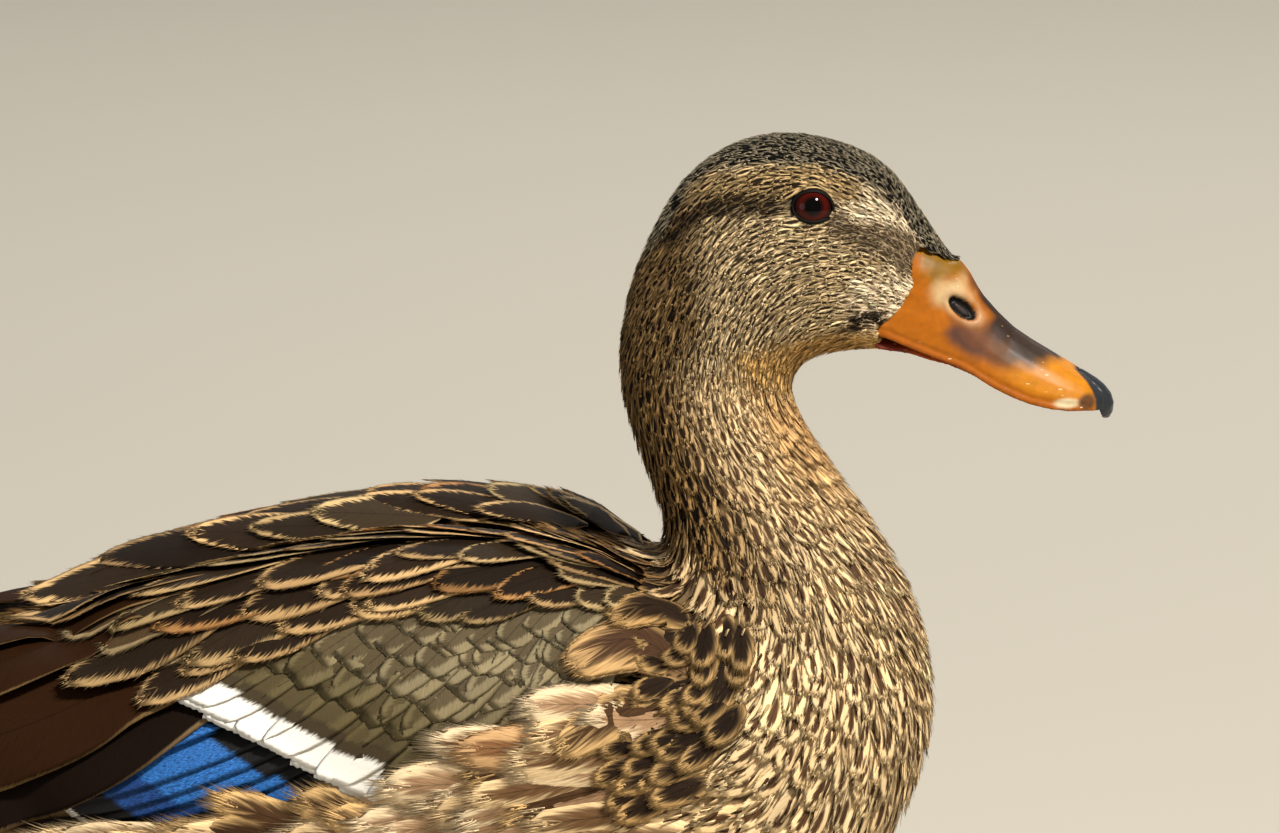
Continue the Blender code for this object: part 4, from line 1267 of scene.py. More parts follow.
# Tracts along the body: the stations between which they lie, the points along and across
# each vane, how far apart the vanes root along and across (as shares of their size), how
# frayed their tips are, how loosely they lie, and their loose barbs and those barbs' length.
Tract = namedtuple("Tract", "name start end rows columns along across fray loose barbs barb_long")
TRACTS = [
    Tract("head", 19.2, 29.0, 5, 5, 0.46, 0.72, 0.5, 0.05, 5, 0.7),
    Tract("neck", 13.2, 19.6, 5, 7, 0.48, 0.72, 0.5, 0.08, 8, 1.1),
    Tract("breast", 8.0, 13.6, 7, 9, 0.50, 0.72, 0.5, 0.08, 14, 1.3),
    Tract("flank", 3.0, 8.4, 7, 9, 0.40, 0.64, 0.7, 0.18, 18, 2.0),
    Tract("rear", 0.7, 3.3, 7, 9, 0.34, 0.58, 0.5, 0.05, 14, 1.5),
]


def tract_density(body, tract, side):
    """Roots in each mm2 of the map for one side of a tract."""
    station = body.stations[:, None]
    inside = rise(station, tract.start - 0.15, tract.start + 0.15)
    inside = inside * rise(station, tract.end + 0.15, tract.end - 0.15)
    turn = np.arange(body.turns)[None, :]
    half = (turn < body.turns / 2) if side > 0 else (turn >= body.turns / 2)
    room = body.long * tract.along * body.wide * tract.across
    return inside * half / room


def make_contour_coat():
    body = body_map()
    allowed = face_room(body) * (1 - rise(covered_by_wings(), 0.55, 0.95))
    for number, tract in enumerate(TRACTS):
        for word, side in SIDES.items():
            rng = np.random.default_rng(100 + 10 * number + side)
            step, turn = body.scatter(tract_density(body, tract, side) * allowed, rng)
            coat = Coat()
            add_tract(coat, body, step, turn, tract.rows, tract.columns, rng, fray=tract.fray,
                      loose=tract.loose, barbs=tract.barbs, barb_long=tract.barb_long)
            made = coat.finish(f"feathers_{tract.name}_{word}", contour_material())
            place_piece(made, "plumage")


# Loose barbs: the stations between which they lie, and how many there are in each mm2.
WISPS = [
    ("head", 19.0, 29.0, 0.9), ("neck", 12.6, 19.3, 0.26), ("breast", 8.4, 12.8, 0.13),
    ("flank", 2.0, 8.8, 0.10),
]


def make_wisps():
    """Loose barbs, which soften the coat's edges and break up its rows."""
    body = body_map()
    allowed = face_room(body) * (1 - rise(covered_by_wings(), 0.4, 0.8))
    station = body.stations[:, None]
    for number, (name, start, end, each) in enumerate(WISPS):
        rng = np.random.default_rng(300 + number)
        inside = rise(station, start - 0.2, start + 0.2) * rise(station, end + 0.2, end - 0.2)
        step, turn = body.scatter(inside * allowed * each * bpy.context.scene.hen_coat.wisps, rng)
        coat = Coat()
        add_tract(coat, body, step, turn, 4, 3, rng, plain=0.86, scale=0.6, slim=0.13, loose=0.25,
                  thick=0.08)
        place_piece(coat.finish(f"wisps_{name}", contour_material()), "plumage")


# ---- wings and tail

# The scapulars' first row, as (x, y) seen from above, and their last, as (x, z) from the side.
SCAPULAR_TOP = [(93, 16), (72, 14.5), (48, 12.5), (26, 11.5), (4, 11), (-18, 10.5)]
SCAPULAR_EDGE = [(93, 146), (76, 150.5), (60, 152), (46, 152), (32, 151), (20, 149.5), (8, 147.5)]
SCAPULAR_ROWS = (0.0, 0.2, 0.38, 0.55, 0.71, 0.87)  # how far down each row lies
# Where the greater coverts end, seen from the side, down to a little below the flank's edge.
COVERT_TIPS = [(-19, 128.6), (-8, 123.4), (5, 116.8), (17.5, 110.0), (29.5, 103.6), (41, 97), (53, 89)]
COVERT_SLOPES = [32, 35, 38, 42, 46, 50, 54]
SECONDARY_TIPS = [(-60, 113), (-50, 107), (-44, 103), (-34, 97), (-25.5, 92.2), (-15, 87), (-4, 82)]


def side_row(chart, tips, slopes, lengths, count, rng, shift=0.0, wander=0.03):
    """A row of feathers as lines of (step, turn) from root to tip. Tips are (x, z) seen from
    the side, slopes are degrees below level, and shift moves the row up towards the roots."""
    shares = (np.arange(count) + 0.5 + rng.uniform(-0.12, 0.12, count)) / count
    places = np.linspace(0, 1, len(slopes))
    slope = np.radians(np.interp(shares, places, slopes)) + rng.normal(0, wander, count)
    long = np.interp(shares, [0, 1], lengths) * rng.uniform(0.95, 1.05, count)
    way = np.stack([np.cos(slope), np.sin(slope)], axis=1)
    tip = along_line(tips, shares) + (shift + rng.normal(0, 0.5, count))[:, None] * way
    root = tip + long[:, None] * way
    return np.stack([chart.from_side(root), chart.from_side(tip)], axis=1), long


def lay_vanes(chart, lines, half, levels, rows, columns, rng, side, roll=-0.14, blunt=0.44,
              **options):
    """Vanes along lines of (step, turn) on a map, at heights above it from root to tip."""
    shares = np.linspace(0, 1, rows)
    places = np.stack([along_line(line, shares) for line in lines])
    base = chart.point(places[:, :, 0], places[:, :, 1])
    normals = chart.normal(places[:, :, 0], places[:, :, 1])
    count = len(lines)
    low, high = (np.broadcast_to(np.asarray(level, float), (count,))[:, None] for level in levels)
    lift = low + (high - low) * shares[None, :]
    half_width = np.broadcast_to(half, (count,))[:, None] * width_profile(shares, blunt)
    options = {"arch": 0.08, "fray": 0.3, "roll": roll + rng.normal(0, 0.02, count)} | options
    line = base + normals * lift[:, :, None]
    return make_vanes(line, normals, half_width, columns, rng, side=side, **options)


def line_length(points):
    return np.linalg.norm(np.diff(points, axis=1), axis=2).sum(axis=1)


def add_laid(coat, vanes, looks, half, rng, rows, columns):
    """Adds laid vanes with their measured lengths."""
    count = len(vanes.points)
    middle = vanes.points[:, :rows * columns].reshape(count, rows, columns, 3)[:, :, columns // 2]
    size = np.stack([line_length(middle), np.broadcast_to(half, (count,))], axis=1)
    coat.add(vanes, looks, np.zeros((count, 2)), size, rng)


def make_scapulars(word, side):
    wing, rng, coat = wing_map(), np.random.default_rng(500 + side), Coat()
    top, edge = wing.from_above(SCAPULAR_TOP), wing.from_side(SCAPULAR_EDGE)
    rows, columns = 10, 11
    for row, down in enumerate(SCAPULAR_ROWS):
        places, along = [], 0.035 * (row % 2)
        while along < 1:
            places.append(along)
            along += (8.0 + 10.5 * along) / 118 * rng.uniform(0.8, 1.2)
        places = np.array(places)
        count = len(places)
        lower = np.clip(down + rng.normal(0, 0.03, count), 0, 1)[:, None]
        root = along_line(top, places) * (1 - lower) + along_line(edge, places) * lower
        long = (21 + 27 * places) * rng.uniform(0.82, 1.15, count)
        half = (4.0 + 4.2 * places) * rng.uniform(0.82, 1.15, count)
        swing = rng.normal(-0.08 - 0.30 * down, 0.11, count)
        steps, turns = wing.trace(root[:, 0], root[:, 1], long, rows, swing)
        high = 1.3 + 0.5 * (1 - down) + rng.uniform(-0.3, 0.5, count)
        lines = np.stack([steps, turns], axis=2)
        low = -1.1 - 1.8 * rise(places, 0.14, 0.0)
        vanes = lay_vanes(wing, lines, half, (low, high), rows, columns, rng, side, fray=0.5,
                          blunt=0.495, barbs=34, barb_long=1.7)
        looks = Looks(count, "scapular")
        looks.paint("dark scapular", rise(rng.random(count), 0.5, 0.8))
        looks.paint("olive scapular", rise(rng.random(count), 0.5, 0.9))
        rufous = rng.random(count) * (1.3 - abs(down - 0.45))
        looks.paint("rufous scapular", 0.8 * rise(rufous, 0.85, 1.1))
        looks.spot[:, 0] *= rng.uniform(0.88, 1.12, count)
        looks.fringe *= 1 + 0.4 * rise(down, 0.4, 0.1)
        looks.vary(rng, 0.22, 0.03)
        add_laid(coat, vanes, looks, half, rng, rows, columns)
    made = coat.finish(f"scapulars_{word}", loose_web_material(), cells=True)
    place_piece(made, "wing_feathers", f"wing_{word}_scapulars")


# The rows of smaller coverts over the greater ones: how far up from their tips, length, half
# width and number.
COVERT_ROWS = [
    (19, 24, 6.4, 13), (27, 21, 6.2, 14), (34.5, 18, 5.8, 15), (41, 16, 5.4, 16),
    (47.5, 14, 5.0, 17), (53.5, 13, 4.7, 18), (59, 13, 4.4, 18), (64.5, 13, 4.4, 18),
]
COVERT_ROOTS = (83, 153)  # ahead of this x, or above this z, no covert roots


def make_coverts(word, side):
    wing, rng = wing_map(), np.random.default_rng(520 + side)
    greater = Coat()
    lines, _ = side_row(wing, COVERT_TIPS, COVERT_SLOPES, (31, 24), 12, rng)
    vanes = lay_vanes(wing, lines, 8.8, (-1.2, 0.1), 10, 17, rng, side, roll=-0.035, arch=0.015,
                      thick=0.10, blunt=0.38, slant=0.55)
    looks = Looks(len(lines), "greater covert")
    looks.vary(rng, 0.08, 0.04)
    add_laid(greater, vanes, looks, 8.6, rng, 10, 17)
    made = greater.finish(f"greater_coverts_{word}", covert_material(), cells=True)
    place_piece(made, "wing_feathers", f"wing_{word}_coverts")
    rest = Coat()
    edge_x, edge_z = np.array(SCAPULAR_EDGE[::-1], float).T
    for shift, long, half, count in COVERT_ROWS:
        lines, _ = side_row(wing, COVERT_TIPS, COVERT_SLOPES, (long, 0.92 * long), count, rng, shift)
        roots, tips = (wing.point(lines[:, end, 0], lines[:, end, 1]) for end in (0, 1))
        below = tips[:, 2] < np.interp(tips[:, 0], edge_x, edge_z) + 1
        lines = lines[below & (roots[:, 0] < COVERT_ROOTS[0]) & (roots[:, 2] < COVERT_ROOTS[1])]
        if not len(lines):
            continue
        high = rng.uniform(-0.20, -0.05, len(lines))
        vanes = lay_vanes(wing, lines, half, (-0.8, high), 7, 11, rng, side, roll=-0.02, arch=0.03,
                          thick=0.06, fray=0.12, blunt=0.43, barbs=12, barb_long=0.5)
        looks = Looks(len(lines), "covert")
        looks.paint("lesser covert", np.full(len(lines), rise(shift, 16.0, 32.0)))
        looks.vary(rng, 0.10, 0.02)
        add_laid(rest, vanes, looks, half, rng, 7, 11)
    made = rest.finish(f"lesser_coverts_{word}", web_material("covert keratin"), cells=True)
    place_piece(made, "wing_feathers")


def make_secondaries(word, side):
    wing, rng, coat = wing_map(), np.random.default_rng(540 + side), Coat()
    lines, _ = side_row(wing, SECONDARY_TIPS, [20, 24], (64, 60), 12, rng, wander=0.01)
    vanes = lay_vanes(wing, lines, 9.5, (-3.4, -3.0), 14, 15, rng, side, roll=-0.07, arch=0.015,
                      fray=0.1, blunt=0.34, slant=0.7)
    add_laid(coat, vanes, Looks(len(lines), "secondary"), 9.5, rng, 14, 15)
    made = coat.finish(f"secondaries_{word}", speculum_material(), cells=True)
    place_piece(made, "speculum", f"wing_{word}_secondaries")


# The longest feathers of the folded wing: kind; half width; height above the wing at root and
# tip; and the lower edge seen from the side, from root to tip.
Tertial = namedtuple("Tertial", "kind half low high edge")
TERTIALS = [
    Tertial("black tertial", 11.5, -2.6, -1.7, [
        (4, 131), (-13.4, 121.4), (-31.7, 109.2), (-46.3, 101.4), (-60.4, 95.6), (-80, 88.5), (-98, 84),
    ]),
    Tertial("tertial", 13.5, -1.9, -0.6, [
        (-2, 138), (-21, 125.6), (-34.5, 118.2), (-46.3, 111), (-66, 102.5), (-86, 96), (-104, 92.5),
    ]),
    Tertial("tertial", 12.0, -0.9, 0.3, [
        (-4, 147), (-18, 143), (-33, 137.6), (-46, 131.4), (-64, 122.5), (-86, 112.5), (-109, 105),
    ]),
    Tertial("tertial", 10.5, -0.5, 0.9, [
        (-10, 147.6), (-30, 142.4), (-52, 136.5), (-82, 127.5), (-114, 117),
    ]),
]
# Lines of (x, degrees round from the back), from root to tip.
TERTIAL_COVERTS = [((8, 34), (-28, 43)), ((2, 28), (-36, 37)), ((-4, 22), (-45, 29))]
PRIMARY_TIPS = [
    (-150, 108.0), (-142, 107.6), (-133, 106.6), (-124, 105.0), (-115, 103.2), (-106, 101.0),
]
PRIMARY_ROOTS = [(-30, 112), (-26, 108), (-22, 104), (-18, 100), (-14, 97), (-10, 94)]


def make_long_feathers(word, side):
    wing, rng = wing_map(), np.random.default_rng(560 + side)
    tertials = Coat()
    for kind, half, low, high, edge in TERTIALS:
        lines = wing.from_side(edge)[None]
        each = np.linalg.norm(wing.at(wing.per_turn, lines[:, :, 0], lines[:, :, 1]), axis=2)
        lines[:, :, 1] -= half / each
        vanes = lay_vanes(wing, lines, half, (low, high), 24, 15, rng, side, roll=-0.10,
                          arch=0.10, fray=0.15, blunt=0.46)
        add_laid(tertials, vanes, Looks(1, kind), half, rng, 24, 15)
    lines = np.stack([around(wing, points) for points in TERTIAL_COVERTS])
    vanes = lay_vanes(wing, lines, 6.6, (-0.8, 1.0), 10, 11, rng, side, fray=0.6, blunt=0.46,
                      barbs=70, barb_long=2.6, splay=(0.1, 0.4))
    add_laid(tertials, vanes, Looks(len(lines), "tertial covert"), 7.0, rng, 10, 11)
    made = tertials.finish(f"tertials_{word}", tertial_material(), cells=True)
    place_piece(made, "wing_feathers", f"wing_{word}_tertials")
    primaries = Coat()
    for number, (tip, root) in enumerate(zip(PRIMARY_TIPS, PRIMARY_ROOTS)):
        middle = ((tip[0] + root[0]) / 2, (tip[1] + root[1]) / 2 - 3.0)
        lines = wing.from_side([root, middle, tip])[None]
        level = -3.0 - 0.4 * number
        vanes = lay_vanes(wing, lines, 6.8, (level - 0.8, level), 18, 9, rng, side, roll=-0.06,
                          arch=0.05, fray=0.1, blunt=0.47)
        add_laid(primaries, vanes, Looks(1, "primary"), 6.8, rng, 18, 9)
    made = primaries.finish(f"primaries_{word}", web_material("primary keratin"), cells=True)
    place_piece(made, "wing_feathers", f"wing_{word}_primaries")


TAIL_ROOT = (-112.0, 112.5)
TAIL_END = -200.5


def make_tail():
    coat = Coat()
    pairs, spread = bpy.context.scene.hen_tail.pairs, bpy.context.scene.hen_tail.spread / MM
    rows, columns = 16, 9
    shares = np.linspace(0, 1, rows)
    for side in SIDES.values():
        rng = np.random.default_rng(580 + side)
        for pair in range(pairs - 1, -1, -1):
            across = (pair + 0.45) / pairs
            end = TAIL_END + 24.0 * across**1.8
            x = TAIL_ROOT[0] + shares * (end - TAIL_ROOT[0])
            y = (13.0 + (spread - 13.0) * shares**0.8) * across * 0.96
            z = TAIL_ROOT[1] - 6.5 * shares - 5.0 * across**2 + 1.6
            z = z - 0.20 * pair - 1.2 * (1 - shares)
            line = np.stack([x, y, z], axis=1)[None]
            lean = np.array([0.0, 0.28 * across, 1.0])
            normals = np.broadcast_to(unit(lean), line.shape)
            half = np.array([8.6 - 0.14 * pair])
            width = half[:, None] * width_profile(shares, 0.47)
            vanes = make_vanes(line, normals, width, columns, rng, thick=0.2, arch=0.04,
                               roll=-0.05, fray=0.15, side=side)
            looks = Looks(1, "rectrix")
            looks.vary(rng, 0.06, 0.03)
            add_laid(coat, vanes, looks, half, rng, rows, columns)
    place_piece(coat.finish("tail_feathers", rectrix_material(), cells=True), "tail_feathers", "tail")


# The loose side feathers, which the wing's bend and lower edge are tucked under. A zone has
# their kind; the draws from 0 to 1 up to which they are cream, from which they are brown and
# from which they are orange; how far it reaches from its line; their length and half width;
# how many root in each mm2; how far they swing up; and its line, seen from the side.
FlankZone = namedtuple("FlankZone", "kind cream brown orange reach long half density rising line")
FLANK_ZONES = [
    FlankZone("side breast", 0, 1, 1, 8.0, 15, 3.4, 0.060, -0.25, [
        (106, 140), (105, 130), (103, 121), (101, 114),
    ]),
    FlankZone("flank streak", 0.50, 0.76, 0.90, 8.0, 36, 6.4, 0.026, -0.15, [
        (100, 126), (92, 118), (82, 112), (72, 106),
    ]),
    FlankZone("flank streak", 0.50, 0.76, 0.90, 8.0, 42, 6.6, 0.024, -0.05, [
        (98, 101), (90, 112), (76, 110), (62, 100), (48, 92), (34, 86),
    ]),
    FlankZone("flank streak", 0.34, 0.60, 0.90, 7.0, 38, 6.0, 0.028, 0.14, [
        (54, 86), (40, 89), (26, 92), (12, 91), (-8, 86),
    ]),
    FlankZone("flank streak", 0.34, 0.60, 0.90, 8.0, 40, 6.2, 0.022, 0.0, [
        (44, 80), (24, 80), (4, 80), (-20, 82),
    ]),
]
# Single big feathers that stand out over the wing's bend: kind, line from root to tip seen
# from the side, half width and lift.
RUFF = [
    ("ruff", ((102, 131), (90, 138.5), (72, 134.5)), 7.6, 3.4),
    ("brown flank", ((100, 124), (87, 125), (70, 117)), 6.4, 2.2),
    ("side breast", ((103, 141), (95, 144.5), (82, 143.5)), 5.0, 2.4),
]


def lay_loose(coat, wing, lines, looks, halves, high, barb_long, rng, side):
    """Adds soft flank feathers, with long loose barbs round their tips."""
    rows, columns = 9, 11
    vanes = lay_vanes(wing, lines, halves, (-0.6, high), rows, columns, rng, side, arch=0.22,
                      roll=0.0, fray=0.8, blunt=0.485, barbs=90, barb_long=barb_long,
                      splay=(0.0, 0.28))
    looks.vary(rng, 0.14, 0.02)
    add_laid(coat, vanes, looks, halves, rng, rows, columns)


def make_flank(word, side):
    wing, coat = wing_map(), Coat()
    x, z = wing.points[:, :, 0], wing.points[:, :, 2]
    left_half = np.arange(wing.turns)[None, :] < wing.turns / 2
    for number, zone in enumerate(FLANK_ZONES):
        rng = np.random.default_rng(600 + 10 * number + side)
        near = rise(line_distance(x, z, zone.line), zone.reach + 2, zone.reach - 2) * left_half
        step, turn = wing.scatter(near * zone.density, rng)
        count = len(step)
        swing = rng.normal(zone.rising, 0.13, count)
        steps, turns = wing.trace(step, turn, zone.long * rng.uniform(0.8, 1.15, count), 9, swing)
        looks = Looks(count, zone.kind)
        draw = rng.random(count)
        looks.paint("cream flank", (draw < zone.cream).astype(float))
        looks.paint("orange flank", (draw > zone.orange).astype(float))
        looks.paint("brown flank", ((draw > zone.brown) & (draw < zone.orange)).astype(float))
        halves, high = zone.half * rng.uniform(0.8, 1.15, count), rng.uniform(0.5, 2.2, count)
        lines = np.stack([steps, turns], axis=2)
        lay_loose(coat, wing, lines, looks, halves, high, 0.13 * zone.long, rng, side)
    for kind, points, half, lift in RUFF:
        lines = wing.from_side(points)[None]
        lay_loose(coat, wing, lines, Looks(1, kind), np.array([half]), lift, 2.6, rng, side)
    place_piece(coat.finish(f"flank_{word}", flank_material(), cells=True), "plumage")


# ---- eyes


def flat_axes(side):
    """The eye's outward axis, and the forward and upward axes of its lids' opening."""
    out = np.array([0.05, side * 0.97, 0.24])
    out = out / np.linalg.norm(out)
    ahead = np.array([1.0, 0.0, 0.0]) - out[0] * out
    ahead /= np.linalg.norm(ahead)
    up = np.cross(ahead, out) * -side
    return out, ahead, up * np.sign(up[2])


def opening(angle):
    """The half width of the lids' opening at an angle from straight ahead, with the front
    corner drawn out and down."""
    long, high = EYE_OPENING
    corner = np.exp(-(((angle + math.pi) % (2 * math.pi) - math.pi + 0.38) / 0.27) ** 2)
    return 1 / np.sqrt((np.cos(angle) / long) ** 2 + (np.sin(angle) / high) ** 2) + 0.75 * corner


# The lid's section, inwards to outwards: beyond the opening's edge, and above the eyeball.
LID = [
    (-0.15, -0.35), (0.0, 0.06), (0.12, 0.26), (0.36, 0.38), (0.7, 0.3), (1.3, -0.1), (2.0, -0.8),
    (1.4, -1.1),
]


def make_eyes():
    head = bpy.context.scene.hen_head
    for word, side in SIDES.items():
        centre = node_centre(f"eye_{word}")
        bm = bmesh.new()
        bmesh.ops.create_uvsphere(bm, u_segments=48, v_segments=36, radius=EYE_RADIUS * MM)
        bmesh.ops.rotate(bm, verts=bm.verts, matrix=Matrix.Rotation(math.pi / 2, 3, "X"))
        bmesh.ops.translate(bm, verts=bm.verts, vec=Vector(centre) * MM)
        globe = bmesh_object(f"eyeball_{word}", bm, eye_material(tuple(head.iris)))
        place_piece(globe, "eye", f"eye_{word}")
        lids = bmesh_object(f"lids_{word}", lid_shape(centre, side), lid_material(tuple(head.lids)))
        place_piece(lids, "eye")


def lid_shape(centre, side):
    """The lids as one closed ring: their section carried round the opening."""
    out, ahead, up = flat_axes(side)
    bm = bmesh.new()
    bmesh.ops.create_grid(bm, x_segments=64, y_segments=len(LID), size=1.0)
    for vertex in bm.verts:
        angle = math.pi * vertex.co.x
        row = round((vertex.co.y + 1) / 2 * len(LID))
        beyond, above = LID[row % len(LID)]
        radius = EYE_RADIUS + above
        lean = math.asin(min((float(opening(np.array(angle))) + beyond) / radius, 0.999))
        way = math.cos(angle) * ahead + math.sin(angle) * up
        vertex.co = Vector(centre + radius * (math.cos(lean) * out + math.sin(lean) * way)) * MM
    bmesh.ops.remove_doubles(bm, verts=bm.verts, dist=1e-7)
    bmesh.ops.recalc_face_normals(bm, faces=bm.faces)
    return bm


@functools.cache
def eye_material(iris):
    """A wet eye: black pupil, dark red-brown iris with fine fibres, under a clear cornea."""
    material, tree, shader = new_material("iris and cornea")
    place = add(tree, "TexCoord").outputs["Object"]
    folded = add(tree, "VectorMath", {0: place}, operation="ABSOLUTE")
    centre = tuple(node_centre("eye_left") * MM)
    off = add(tree, "VectorMath", {0: folded, 1: centre}, operation="SUBTRACT")
    axis = tuple(flat_axes(1)[0] / (EYE_RADIUS * MM))
    facing = add(tree, "VectorMath", {0: off, 1: axis}, operation="DOT_PRODUCT")
    angle = add(tree, "Math", {0: facing.outputs["Value"]}, operation="ARCCOSINE")
    fibres = add(tree, "TexNoise", {"Vector": off, "Scale": 2200.0, "Detail": 2.0})
    angle = add(tree, "Math", {0: fibres, 1: 0.05, 2: angle}, operation="MULTIPLY_ADD")
    ramp = add(tree, "ValToRGB", {0: angle})
    rings = ((0.43, 0.35), (0.60, 1.0), (0.78, 0.4), (0.90, 0.06))  # from the pupil to the rim
    stops = [(turn, rgba(share * np.array(iris))) for turn, share in rings]
    set_ramp(ramp, [(0.36, rgba("#020101"))] + stops)
    wire(tree, shader, {
        "Base Color": ramp, "Roughness": 0.8, "Specular IOR Level": 0.0, "Coat Weight": 0.35,
        "Coat Roughness": 0.02,
    })
    return material


@functools.cache
def lid_material(colour):
    """Thin, dark, slightly moist skin."""
    material, tree, shader = new_material("eyelid skin")
    wire(tree, shader, {"Base Color": rgba(colour), "Roughness": 0.6, "Specular IOR Level": 0.15})
    return material


# ---- bill

BILL_EDGE = [
    (143, 206.5), (149.8, 203.4), (157.5, 200.2), (165.2, 197.2), (173, 192.4), (180.8, 189),
    (188.2, 187.4), (194, 187),
]
NOSTRIL = (165.6, 211.2)
NOSTRIL_SLOPE = -38.0
DARK_SADDLE = [
    (166.5, 219), (172, 214), (176, 210.6), (181, 206.6), (187, 201.8), (189.4, 199.0),
    (184, 197.6), (176, 197.4), (169, 198.8), (164.2, 201.8), (161.2, 205.6), (163.0, 208.6),
    (166.0, 208.0), (170, 206.6), (172.2, 208.4), (170.6, 211.6),
]
NAIL_STAIN = [
    (191.6, 196.4), (197.6, 194.0), (203, 189), (203, 183), (197.6, 183), (195.6, 186.2),
    (196.6, 189.4), (194.4, 192.4),
]


def nostril_place(x, z):
    slope = math.radians(NOSTRIL_SLOPE)
    dx, dz = x - NOSTRIL[0], z - NOSTRIL[1]
    return dx * math.cos(slope) + dz * math.sin(slope), dz * math.cos(slope) - dx * math.sin(slope)


def blend(colours, towards, share):
    """Mixes rows of colour towards one colour by a share for each."""
    return colours + np.asarray(share)[:, None] * (np.array(rgba(towards)[:3]) - colours)


def soft_noise(points, scale):
    return np.array([noise.noise(Vector(point) * scale) for point in points])


def make_bill():
    nodes = frame["nodes"]
    head = bpy.context.scene.hen_head
    upper = smooth_copy("upper_bill", [nodes["bill_upper"].data], 0.42, 6, bill_material())
    points, normals = mesh_points(upper.data), mesh_normals(upper.data)
    x, y, z = points.T
    along, aside = nostril_place(x, z)
    flat = np.abs(normals[:, 1])  # 1 on the bill's sides
    side = rise(flat, 0.25, 0.6) * rise(np.abs(y), 1.5, 3.0)
    hollow = rise(np.hypot(along / 4.2, aside / 1.9), 1.12, 0.6) * side
    rim = np.exp(-((np.hypot(along / 5.0, aside / 2.7) - 1.0) / 0.20) ** 2) * side
    tongue = rise(np.hypot((along - 0.2) / 2.6, (aside + 0.15) / 0.85), 1.3, 0.6) * side
    edge = line_distance(x, z, BILL_EDGE)
    groove = np.exp(-(((edge - 1.7) / 0.5) ** 2)) * rise(flat, 0.2, 0.6)
    tucked = rise(line_distance(x, z, FEATHER_LINE), 1.6, 0.2)[:, None]
    points += np.array([-1.8, 0.0, 0.0]) * tucked - normals * 0.4 * tucked
    crest = rise(z, 211.0, 220.5) * rise(x, 175.0, 162.0)
    relief = 0.30 * rim - 1.8 * hollow + 0.9 * tongue - 0.30 * groove + 1.5 * crest
    points += normals * relief[:, None]
    set_points(upper.data, points)
    colour = bill_colours(points, edge, hollow, rim, tongue)
    add_vector(upper.data, "tint", np.clip(colour, 0, 1))
    place_piece(upper, "bill", "bill_upper")

    lower = smooth_copy("lower_bill", [nodes["bill_lower"].data], 0.45, 3, bill_material())
    points = mesh_points(lower.data)
    points[:, 0] -= 3.0 * rise(points[:, 0], 154, 149)
    set_points(lower.data, points)
    colour = np.tile(linear("#984206"), (len(points), 1))
    colour = blend(colour, "#66200A", rise(points[:, 0], 156, 150))
    add_vector(lower.data, "tint", colour)
    place_piece(lower, "bill", "bill_lower")

    nail = smooth_copy("nail", [nodes["bill_nail"].data], 0.3, 4, nail_material())
    add_vector(nail.data, "tint", np.tile(head.nail, (len(nail.data.vertices), 1)))
    place_piece(nail, "nail", "bill_nail")


def bill_colours(points, edge, hollow, rim, tongue):
    """The upper bill's colours: orange, with a dark saddle, pale marks, a stained tip and painted shade
    in the nostril. Edge is how far each point is from the bill's cutting edge, and the rest are the
    nostril."""
    head = bpy.context.scene.hen_head
    x, y, z = points.T
    y = np.abs(y)
    ruffle, fine = soft_noise(points, 0.28), soft_noise(points, 0.9)

    def spot(centre, radii, far, close, raggedness=0.0):
        """1 within a spot seen from the side, and 0 beyond it."""
        return rise(out_from(x, z, centre, radii) + raggedness * ruffle, far, close)

    colour = np.tile(head.bill, (len(points), 1))
    colour = blend(colour, "#BA7402", rise(x, 170, 182) * rise(edge, 1.5, 4))
    colour = blend(colour, "#9C5202", rise(edge, 2.2, 0.8))
    colour = blend(colour, "#7A5608", spot((161, 222.6), (6.5, 6.0), 1.2, 0.5, 0.3))
    colour = blend(colour, "#C6AE82", 0.85 * spot((163.0, 214.6), (5.2, 4.2), 1.3, 0.4, 0.3))
    colour = blend(colour, "#B98A62", 0.7 * spot((168.4, 208.4), (2.8, 2.2), 1.3, 0.5))
    dark = rise(depth_inside(x, z, DARK_SADDLE) + 0.9 * ruffle, -1.8, 2.2)
    middle = rise(y, 4.2, 2.2) * rise(x, 165, 170) * rise(x, 190, 187.5)
    black = rise(x + 0.8 * (z - 203) + 2 * ruffle, 165, 177)
    colour = blend(colour, "#3E2C2C", 0.92 * dark * (1 - black))
    saddle = np.maximum(dark * black, middle * rise(x, 166, 171))
    colour = blend(colour, head.saddle, 0.96 * saddle)
    ivory = spot((190.0, 189.2), (3.0, 1.2), 1.3, 0.6) * rise(y, 3, 5)
    colour = blend(colour, "#D8C9A2", 0.9 * ivory)
    colour = blend(colour, "#5A3A1E", spot((194.8, 189.2), (2.4, 2.2), 1.2, 0.5))
    stain = rise(depth_inside(x, z, NAIL_STAIN) + 0.3 * fine, -0.4, 0.5)
    colour = blend(colour, head.nail, stain * rise(y - 0.9 * (x - 194), 5.6, 4.4))
    colour = blend(colour, "#B08A62", 0.45 * rim)
    # Painted shade: the nostril's hollow is painted near black, and the raised flap inside it dark
    # grey.
    colour = blend(colour, "#0D0908", rise(hollow, 0.10, 0.35))
    colour = blend(colour, "#3A3130", 0.7 * rise(tongue, 0.5, 1.0))
    return colour * (1 + 0.10 * fine)[:, None]


HORN = {"Specular IOR Level": 0.25, "Coat Roughness": 0.25}


